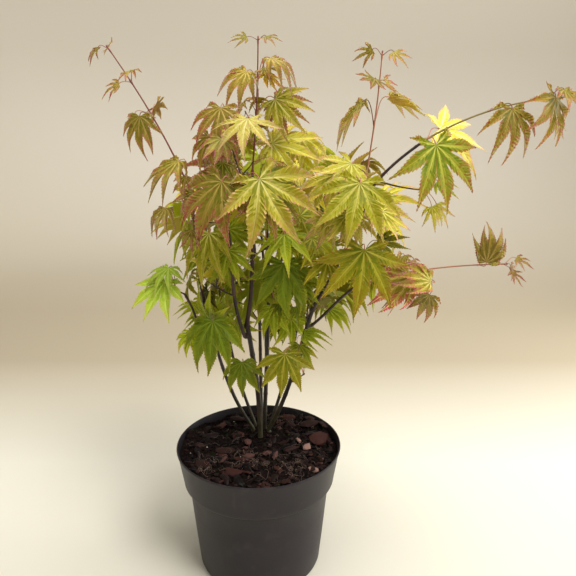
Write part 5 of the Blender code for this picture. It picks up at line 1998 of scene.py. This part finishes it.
@dataclass
class Pot:
    """The nursery pot: a thin tapered shell with a deep plain lip, a recessed foot and drain holes."""

    height: float = 0.150
    rim: float = 0.095
    lip_depth: float = 0.043
    lip_foot: float = 0.0875
    body_top: float = 0.082
    base: float = 0.072
    wall: float = 0.0018
    foot_round: float = 0.0035
    foot_ring: float = 0.0040
    recess: float = 0.0009
    sides: int = 144
    holes: int = 8
    hole_circle: float = 0.050
    hole_radius: float = 0.0055
    finish: PlasticFinish = PlasticFinish()

    def rings(self) -> list[tuple[float, float]]:
        """Profile of the shell, from the foot up the outer side and down the inner one.

        Returns:
            Radius and height of every ring.
        """
        step = self.height - self.lip_depth
        outer = [(self.base - self.foot_round, 0.0), (self.base - 0.0012, 0.0009), (self.base, 0.0040)]
        outer += [(self.base + (self.body_top - self.base) * part, step * part) for part in (0.35, 0.7)]
        outer += [(self.body_top - 0.0002, step - 0.0030), (self.body_top + 0.0010, step - 0.0006)]
        outer += [(self.lip_foot - 0.0012, step - 0.0001), (self.lip_foot, step + 0.0012)]
        outer += [(self.lip_foot + 0.0004, step + 0.0040)]
        outer += [(self.rim - 0.0016, self.height - 0.0060), (self.rim - 0.0004, self.height - 0.0030)]
        outer += [(self.rim, self.height - 0.0012), (self.rim - 0.0003, self.height - 0.0002)]
        inner = [(self.rim - 0.0009, self.height), (self.rim - 0.0015, self.height - 0.0003)]
        inner += [(self.rim - 0.0019, self.height - 0.0014), (self.rim - self.wall - 0.0012, self.height - 0.006)]
        inner += [(self.lip_foot - self.wall, step + 0.0030), (self.body_top - 0.0012, step + 0.0016)]
        inner += [(self.body_top - self.wall, step - 0.0010), (self.base - self.wall, 0.0040)]
        return outer + inner

    def build(self) -> bpy.types.Object:
        """Turn the shell out of a circle, ring by ring, and cut its drain holes.

        Returns:
            The pot.
        """
        rings = self.rings()
        put_down()
        bpy.ops.mesh.primitive_circle_add(vertices=self.sides, radius=rings[0][0], fill_type="NOTHING",
                                          location=(0, 0, rings[0][1]))
        pot = bpy.context.active_object
        pot.name = pot.data.name = "nursery_pot"
        bpy.ops.object.transform_apply(location=True)
        bpy.ops.object.mode_set(mode="EDIT")
        bpy.ops.mesh.select_all(action="SELECT")
        for (radius, height), (after, above) in zip(rings, rings[1:]):
            bpy.ops.mesh.extrude_region_move(TRANSFORM_OT_translate={"value": (0, 0, above - height)})
            share = after / radius
            bpy.ops.transform.resize(value=(share, share, 1), center_override=(0, 0, above))
        bpy.ops.mesh.edge_face_add()
        self.underside(pot)
        bpy.ops.mesh.select_all(action="SELECT")
        bpy.ops.mesh.remove_doubles(threshold=1e-6)
        bpy.ops.mesh.normals_make_consistent(inside=False)
        bpy.ops.object.mode_set(mode="OBJECT")
        self.drain(pot)
        bpy.ops.object.shade_smooth_by_angle(angle=math.radians(40))
        pot.data.materials.clear()
        pot.data.materials.append(self.finish.material())
        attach(pot, BODY)
        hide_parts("pot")
        return pot

    def underside(self, pot: bpy.types.Object) -> None:
        """Close the underside, recessed inside its foot ring.

        Args:
            pot: The pot, in edit mode.
        """
        lowest = self.base - self.foot_round
        inside = lowest - self.foot_ring
        select_edges(pot, lambda place: abs(place.z) < 1e-6 and abs(place.xy.length - lowest) < 1e-4)
        bpy.ops.mesh.select_mode(type="EDGE")
        for before, after, lift in ((lowest, inside, 0.0), (inside, inside - 0.0010, self.recess)):
            bpy.ops.mesh.extrude_region_move(TRANSFORM_OT_translate={"value": (0, 0, lift)})
            share = after / before
            bpy.ops.transform.resize(value=(share, share, 1), center_override=(0, 0, lift))
        bpy.ops.mesh.edge_face_add()
        bpy.ops.mesh.select_mode(type="VERT")

    def drain(self, pot: bpy.types.Object) -> None:
        """Cut the round drain holes through the base.

        Args:
            pot: The pot.
        """
        for hole in range(self.holes):
            angle = 2 * math.pi * (hole + 0.5) / self.holes
            place = (self.hole_circle * math.cos(angle), self.hole_circle * math.sin(angle), 0.0)
            put_down()
            bpy.ops.mesh.primitive_cylinder_add(vertices=32, radius=self.hole_radius, depth=0.02, location=place)
            cutter = bpy.context.active_object
            pick(pot)
            cut = pot.modifiers.new("hole", "BOOLEAN")
            cut.operation = "DIFFERENCE"
            cut.object = cutter
            bpy.ops.object.modifier_apply(modifier=cut.name)
            bpy.data.meshes.remove(cutter.data)


@dataclass(frozen=True)
class MixFinish:
    """Damp dark compost, brown on its crumbs, with a little moss, and nearly black in the hollows of its relief:
    its own dark colour there deepened by painted shade.
    """

    name: str = "mix_finish"
    # Near-black of the damp compost, deepened to stand for the shade in the hollows between crumbs: partly painted
    # shade.
    deep: Colour = (7, 4, 4)
    crumb: Colour = (35, 22, 18)
    moss: Colour = (32, 36, 18)

    def material(self) -> bpy.types.Material:
        """Make the compost's material.

        Returns:
            The material.
        """
        shader = Shader(self.name)
        crumbs = shader.speckle(330.0, 6.0)
        patches = shader.speckle(38.0, 3.0)
        # The low parts of the relief take the near-black colour: painted shade in the hollows.
        tone = shader.mix(crumbs.ramp(0.38, 0.70), self.deep, self.crumb)
        tone = shader.mix(patches.ramp(0.58, 0.70) * 0.45, tone, self.moss)
        relief = crumbs + shader.speckle(1100.0, 3.0) * 0.4
        return shader.finish(Base_Color=tone, Roughness=0.62 + crumbs * 0.35, Specular_IOR_Level=0.08,
                             Normal=shader.relief(relief, 0.0008))


@dataclass
class Mix:
    """The potting mix: an uneven bed with bark chips, crumbs and fine pale roots on it."""

    radius: float = 0.0908
    level: float = 0.1438
    around: int = 160
    rings: int = 60
    # Radius and height of the rings under the bed, down along the pot's inside to its floor
    below: tuple[tuple[float, float], ...] = ((0.0852, 0.1098), (0.0796, 0.1066), (0.0696, 0.0024))
    clump: tuple[float, float] = (0.001, 0.034)
    stem_room: float = 0.0075
    chip_count: int = 300
    crumb_count: int = 1500
    root_count: int = 120
    fibres_each: int = 42
    # Where the bed reaches up to the rim: place and radius
    heaps: tuple[Place, ...] = ((0.064, 0.064, 0.045), (-0.084, 0.030, 0.035))
    finish: MixFinish = MixFinish()
    chip_tones: tuple[PlainFinish, ...] = (
        PlainFinish("chip_black", (12, 7, 7), 0.5, 0.12),
        PlainFinish("chip_dark", (28, 16, 14), 0.55, 0.12),
        PlainFinish("chip_brown", (44, 26, 22), 0.6, 0.12),
        PlainFinish("chip_red", (58, 31, 26), 0.62, 0.12),
        PlainFinish("chip_rose", (80, 51, 46), 0.7, 0.14),
        PlainFinish("chip_pale", (138, 105, 94), 0.75, 0.2),
    )
    chip_shares: tuple[float, ...] = (0.34, 0.32, 0.20, 0.10, 0.035, 0.005)
    crumb_tones: tuple[PlainFinish, ...] = (
        PlainFinish("crumb_black", (8, 5, 5), 0.6, 0.08),
        PlainFinish("crumb_brown", (34, 21, 17), 0.75, 0.08),
        PlainFinish("crumb_moss", (40, 45, 23), 0.85, 0.08),
        PlainFinish("crumb_white", (206, 198, 184), 0.8, 0.3),
    )
    crumb_shares: tuple[float, ...] = (0.50, 0.425, 0.07, 0.005)
    root_tones: tuple[PlainFinish, ...] = (
        PlainFinish("root_pale", (116, 95, 84), 0.6, 0.2),
        PlainFinish("root_brown", (62, 45, 38), 0.65, 0.2),
    )
    # Chips that lie on top: place, half length, heading, tilt and tone
    large_chips: tuple[tuple[float, float, float, float, float, int], ...] = (
        (0.046, 0.0085, 0.0080, 105, 0.5, 5), (0.056, -0.0075, 0.0075, 60, 0.4, 5),
        (0.073, 0.014, 0.0180, 52, 0.4, 3), (0.060, 0.048, 0.0120, 20, 0.1, 2), (-0.038, -0.012, 0.0125, 8, 0.2, 2),
        (-0.028, -0.0555, 0.0130, -12, 0.2, 3), (-0.009, -0.027, 0.0068, 30, 0.2, 4),
        (0.010, -0.018, 0.0062, 10, 0.3, 4), (0.062, -0.050, 0.0066, -15, 0.2, 5),
        (-0.058, 0.020, 0.0100, 20, 0.1, 1), (-0.062, -0.040, 0.0090, -40, 0.2, 2),
        (0.020, -0.066, 0.0090, 70, 0.2, 1), (-0.030, 0.060, 0.0110, 160, 0.1, 2),
        (0.035, 0.066, 0.0100, 10, 0.1, 3), (-0.048, 0.046, 0.0085, 60, 0.2, 4),
        (0.078, 0.046, 0.0100, 110, 0.3, 2),
    )
    fibre_beds: tuple[Place, ...] = (
        (0.034, -0.036, 0.013), (0.044, -0.060, 0.012), (0.022, 0.068, 0.011), (-0.006, -0.040, 0.012),
        (-0.062, -0.048, 0.012))

    def height(self, x: float, y: float) -> float:
        """Height of the bed: flat where the stems come up, lower or heaped up towards the rim.

        Args:
            x: Place along X.
            y: Place along Y.

        Returns:
            The height.
        """
        away = math.hypot(x - self.clump[0], y - self.clump[1])
        grow = min(max((away - 0.020) / 0.02, 0.15), 1.0)
        out = math.hypot(x, y) / self.radius
        place = Vector((x * 55, y * 55, 0.4))
        waves = 0.0034 * noise.noise(place) + 0.0022 * noise.noise(place * 3.1) + 0.0016 * noise.noise(place * 8)
        heap = max(1 - math.hypot(x - found[0], y - found[1]) / found[2] for found in self.heaps)
        edge = max(out - 0.72, 0.0) / 0.28 * (0.0085 * max(heap, 0.0) - 0.0035)
        return self.level + waves * grow + edge + 0.0012 * (1 - grow)

    def bed(self) -> bpy.types.Object:
        """Make the bed, closed down to the pot's floor.

        Returns:
            The piece.
        """
        vertices = [(0.0, 0.0, self.height(0, 0))]
        for ring in range(1, self.rings + 1):
            places = ring_places(self.radius * ring / self.rings, self.around)
            vertices += [(x, y, self.height(x, y)) for x, y in places]
        for far, height in self.below:
            vertices += [(x, y, height) for x, y in ring_places(far, self.around)]
        vertices.append((0.0, 0.0, self.below[-1][1]))
        buffer = MeshBuffer()
        corners, sizes = disc_faces(self.rings + len(self.below), self.around, True)
        buffer.add(np.array(vertices), corners, sizes, np.zeros(len(sizes), int))
        piece = buffer.piece("mix_bed", 60.0)
        piece.data.materials.append(self.finish.material())
        return piece

    def lump(self, level: int, rng: Draws, rough: float) -> tuple[np.ndarray, np.ndarray]:
        """One uneven lump within a unit ball.

        Args:
            level: How finely it is cut.
            rng: Random numbers.
            rough: How uneven it is.

        Returns:
            Vertices and triangles.
        """
        shape = bmesh.new()
        bmesh.ops.create_icosphere(shape, subdivisions=level, radius=1.0)
        vertices = np.array([tuple(vertex.co) for vertex in shape.verts])
        faces = np.array([[vertex.index for vertex in face.verts] for face in shape.faces])
        shape.free()
        shift = Vector(rng.uniform(-50, 50, 3))
        swell = [1 + rough * noise.noise(Vector(vertex) * 1.3 + shift) for vertex in vertices]
        return vertices * np.array(swell)[:, None], faces

    def scatter(self, buffer: MeshBuffer, lumps: list, place: tuple[float, float], size: np.ndarray,
                turns: Place, lift: float, slot: int, rng: Draws) -> None:
        """Lay one lump on the bed.

        Args:
            buffer: The joined mesh it becomes part of.
            lumps: The lumps to choose from.
            place: Where it lies.
            size: Its half length, width and height.
            turns: Its turns about X, Y and Z.
            lift: How far its middle is above the bed.
            slot: Its finish's slot.
            rng: Random numbers.
        """
        vertices, faces = lumps[int(rng.integers(len(lumps)))]
        spin = np.array(Matrix.Rotation(turns[2], 3, "Z") @ Matrix.Rotation(turns[1], 3, "Y")
                        @ Matrix.Rotation(turns[0], 3, "X"))
        shape = (vertices * size) @ spin.T
        shape += np.array((*place, self.height(*place) + lift))
        buffer.add(shape, faces.ravel(), np.full(len(faces), 3), np.full(len(faces), slot))

    def spots(self, count: int, reach: float, rng: Draws) -> Iterable[tuple[float, float]]:
        """Places on the bed, clear of the stems' feet.

        Args:
            count: How many.
            reach: How far out they may be.
            rng: Random numbers.

        Returns:
            The places, one by one.
        """
        feet = [limb.foot for limb in STEMS]
        found = 0
        while found < count:
            far, angle = reach * math.sqrt(rng.uniform(0, 1)), rng.uniform(0, 2 * math.pi)
            x, y = far * math.cos(angle), far * math.sin(angle)
            if min(math.hypot(x - foot[0], y - foot[1]) for foot in feet) > self.stem_room:
                found += 1
                yield x, y

    def chips(self) -> bpy.types.Object:
        """Make the bark chips.

        Returns:
            The piece.
        """
        rng = np.random.default_rng(21)
        buffer = MeshBuffer()
        lumps = [self.lump(2, rng, 0.5) for _ in range(10)]
        slots = [buffer.slot(tone) for tone in self.chip_tones]
        for x, y in self.spots(self.chip_count, 0.086, rng):
            long = rng.uniform(0.0026, 0.0070) * (1.5 if rng.uniform() < 0.16 else 1.0)
            size = np.array((long, long * rng.uniform(0.30, 0.58), long * rng.uniform(0.18, 0.34)))
            room = self.radius + 0.001 - math.hypot(x, y)
            size *= min(1.0, max(room / long, 0.35))
            turns = (rng.uniform(-0.6, 0.6), rng.uniform(-0.5, 0.5), rng.uniform(0, 2 * math.pi))
            slot = slots[int(rng.choice(len(slots), p=self.chip_shares))]
            self.scatter(buffer, lumps, (x, y), size, turns, size[2] * 0.5, slot, rng)
        for x, y, long, heading, tilt, tone in self.large_chips:
            size = np.array((long, long * rng.uniform(0.42, 0.55), long * rng.uniform(0.16, 0.24)))
            turns = (tilt, rng.uniform(-0.15, 0.15), math.radians(heading))
            lift = 0.0020 + size[1] * math.sin(tilt) * 0.6
            self.scatter(buffer, lumps, (x, y), size, turns, lift, slots[tone], rng)
        return buffer.piece("bark_chips", 35.0)

    def crumbs(self) -> bpy.types.Object:
        """Make the crumbs of compost, moss and grit.

        Returns:
            The piece.
        """
        rng = np.random.default_rng(22)
        buffer = MeshBuffer()
        lumps = [self.lump(1, rng, 0.7) for _ in range(8)]
        slots = [buffer.slot(tone) for tone in self.crumb_tones]
        for x, y in self.spots(self.crumb_count, 0.0895, rng):
            size = rng.uniform(0.0006, 0.0019) * np.array((1.0, rng.uniform(0.6, 1), rng.uniform(0.5, 0.9)))
            turns = tuple(rng.uniform(0, 6, 3))
            slot = slots[int(rng.choice(len(slots), p=self.crumb_shares))]
            self.scatter(buffer, lumps, (x, y), size, turns, 0.0004, slot, rng)
        return buffer.piece("mix_crumbs", 50.0)

    def roots(self) -> bpy.types.Object:
        """Make the fine roots and fibres that curl over the bed.

        Returns:
            The piece.
        """
        rng = np.random.default_rng(23)
        buffer = MeshBuffer()
        slots = [buffer.slot(tone) for tone in self.root_tones]
        starts = list(self.spots(self.root_count, 0.080, rng))
        for x, y, reach in self.fibre_beds:
            starts += [(x + rng.normal(0, reach), y + rng.normal(0, reach)) for _ in range(self.fibres_each)]
        for x, y in starts:
            heading, curl, points = rng.uniform(0, 6.3), rng.uniform(-0.7, 0.7), []
            count, pace = int(rng.integers(7, 17)), rng.uniform(0.0008, 0.0018)
            arch = rng.uniform(0.0006, 0.0050)
            for step in range(count):
                if math.hypot(x, y) > self.radius - 0.002:
                    break
                lift = arch * math.sin(math.pi * step / (count - 1)) + 0.0014
                points.append((x, y, self.height(x, y) + lift))
                curl += rng.uniform(-0.45, 0.45)
                heading += curl * 0.8
                x, y = x + pace * math.cos(heading), y + pace * math.sin(heading)
            if len(points) > 4:
                radii = np.full(len(points), rng.uniform(0.00008, 0.00016))
                radii[-1] = 0.0
                buffer.add_tube(np.array(points), radii, 4, slots[int(rng.uniform() < 0.45)])
        return buffer.piece("fine_roots", 80.0)

    def build(self) -> list[bpy.types.Object]:
        """Make the bed and all that lies on it.

        Returns:
            The pieces.
        """
        made = [self.bed(), self.chips(), self.crumbs(), self.roots()]
        for piece in made:
            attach(piece, BODY)
        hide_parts("potting_mix")
        return made


# --------------------------------------------------------------------------- studio


@dataclass(frozen=True)
class StageFinish:
    """Plain pale paper, a little deeper in tone behind the pot, and paler again further back where it rises and
    gets less light; that paler tone is painted light.
    """

    name: str = "stage_finish"
    floor: Colour = (224, 218, 201)
    sweep: Colour = (178, 165, 141)
    # The paler tone further back makes up for the weaker light on the rising paper: painted light.
    back: Colour = (202, 194, 179)

    def material(self) -> bpy.types.Material:
        """Make the paper's material.

        Returns:
            The material.
        """
        shader = Shader(self.name)
        depth = shader.axis(1)
        tone = shader.mix(depth.ramp(0.20, 0.62), self.floor, self.sweep)
        # Paler further back where the paper rises: painted light.
        tone = shader.mix(depth.ramp(1.0, 2.2), tone, self.back)
        return shader.finish(Base_Color=tone, Roughness=0.85, Specular_IOR_Level=0.2)


@dataclass
class Studio:
    """Camera, light and a pale floor, flat around the plant, that sweeps up to a border all round."""

    flat: float = 1.6
    bend: float = 0.9
    border: float = 1.6
    around: int = 96
    air: Colour = (0.93, 0.95, 0.96)
    air_strength: float = 0.31
    finish: StageFinish = StageFinish()

    def camera(self) -> None:
        """Set up the camera."""
        data = bpy.data.cameras.new("camera")
        data.sensor_width, data.lens = SENSOR, LENS
        camera = bpy.data.objects.new("camera", data)
        camera.location = EYE
        camera.rotation_euler = (math.radians(90 - PITCH), 0, 0)
        bpy.context.scene.collection.objects.link(camera)
        bpy.context.scene.camera = camera

    def sweep(self) -> None:
        """Make the floor: a disc whose border rises in a smooth curve."""
        flat, bend = self.flat, self.bend
        rows = [(0.5, 0.0), (1.0, 0.0), (flat, 0.0)]
        rows += [(flat + bend * math.sin(turn), bend * (1 - math.cos(turn))) for turn in np.linspace(0.15, 1.5, 10)]
        rows.append((flat + bend + 0.02, self.border))
        vertices = [(0.0, 0.0, 0.0)]
        vertices += [(x, y, height) for far, height in rows for x, y in ring_places(far, self.around)]
        buffer = MeshBuffer()
        corners, sizes = disc_faces(len(rows), self.around, False)
        buffer.add(np.array(vertices), corners, sizes, np.zeros(len(sizes), int))
        floor = buffer.piece("floor", 180.0)
        floor.data.materials.append(self.finish.material())
        floor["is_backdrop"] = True

    def daylight(self, name: str, place: Place, spread: float, power: float,
                 colour: Colour) -> None:
        """Add even light.

        Args:
            name: Its name.
            place: The side it comes from.
            spread: How many degrees wide it is.
            power: Its strength.
            colour: Its colour, of 0 to 1 a channel.
        """
        data = bpy.data.lights.new(name, "SUN")
        data.angle, data.energy, data.color = math.radians(spread), power, colour
        light = bpy.data.objects.new(name, data)
        light.rotation_euler = (-Vector(place)).to_track_quat("-Z", "Y").to_euler()
        bpy.context.scene.collection.objects.link(light)

    def lamp(self, name: str, place: Place, size: float, power: float,
             target: Place = (0.04, 0.0, 0.30)) -> None:
        """Add one soft round lamp.

        Args:
            name: Its name.
            place: Where it hangs.
            size: Its width.
            power: Its strength.
            target: What it faces: the middle of the plant, or a place of its own.
        """
        data = bpy.data.lights.new(name, "AREA")
        data.shape, data.size, data.energy, data.color = "DISK", size, power, (1.0, 1.0, 0.99)
        lamp = bpy.data.objects.new(name, data)
        lamp.location = place
        lamp.rotation_euler = (Vector(target) - Vector(place)).to_track_quat("-Z", "Y").to_euler()
        bpy.context.scene.collection.objects.link(lamp)

    def build(self) -> None:
        """Set up camera, floor, lamps and the air's own light."""
        self.camera()
        self.sweep()
        self.daylight("window", (0.95, -0.95, 1.6), 26.0, 1.9, (1.0, 1.0, 0.99))
        self.daylight("room", (-0.9, -1.4, 0.9), 80.0, 0.45, (1.0, 1.0, 0.98))
        self.lamp("ceiling", (0.15, 0.05, 1.35), 0.8, 10.0)
        self.lamp("side", (1.2, 0.25, 0.45), 0.9, 10.0)
        self.lamp("backdrop", (0.5, 1.2, 1.9), 0.6, 8.0, (1.25, 2.2, 0.95))
        world = bpy.data.worlds.new("air")
        world.use_nodes = True
        sky = world.node_tree.nodes["Background"].inputs
        sky["Color"].default_value, sky["Strength"].default_value = (*self.air, 1), self.air_strength
        bpy.context.scene.world = world
        bpy.context.scene.view_settings.view_transform = "Standard"


def main() -> None:
    """Dress the plant from its pot up, then set up the studio."""
    logging.basicConfig(level=logging.INFO, format="%(name)s: %(message)s")
    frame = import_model()
    solids_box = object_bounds()
    log.info("frame of %d nodes", len(frame["nodes"]))
    growth = Growth()
    growth.grow()
    for shoot in sorted(SHOOTS, key=lambda shoot: shoot.seed):
        if shoot.name not in OPEN_SHOOTS:
            growth.finer_twigs(shoot, *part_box(shoot.name))
    log.info("plan: %d leaves", sum(len(leaves) for leaves in growth.leaves.values()))
    Studio().build()
    pieces = [Pot().build(), *Mix().build(), *Wood(growth).build(), *Foliage(growth).build()]
    for piece in pieces:
        log.info("%s: %d faces", piece.name, len(piece.data.polygons))
    log.info("%d faces in all", sum(len(piece.data.polygons) for piece in pieces))
    boxes = {name: [list(map(float, corner)) for corner in box]
             for name, box in (("cad", solids_box), ("visual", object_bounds()))}


if __name__ == "__main__":
    main()
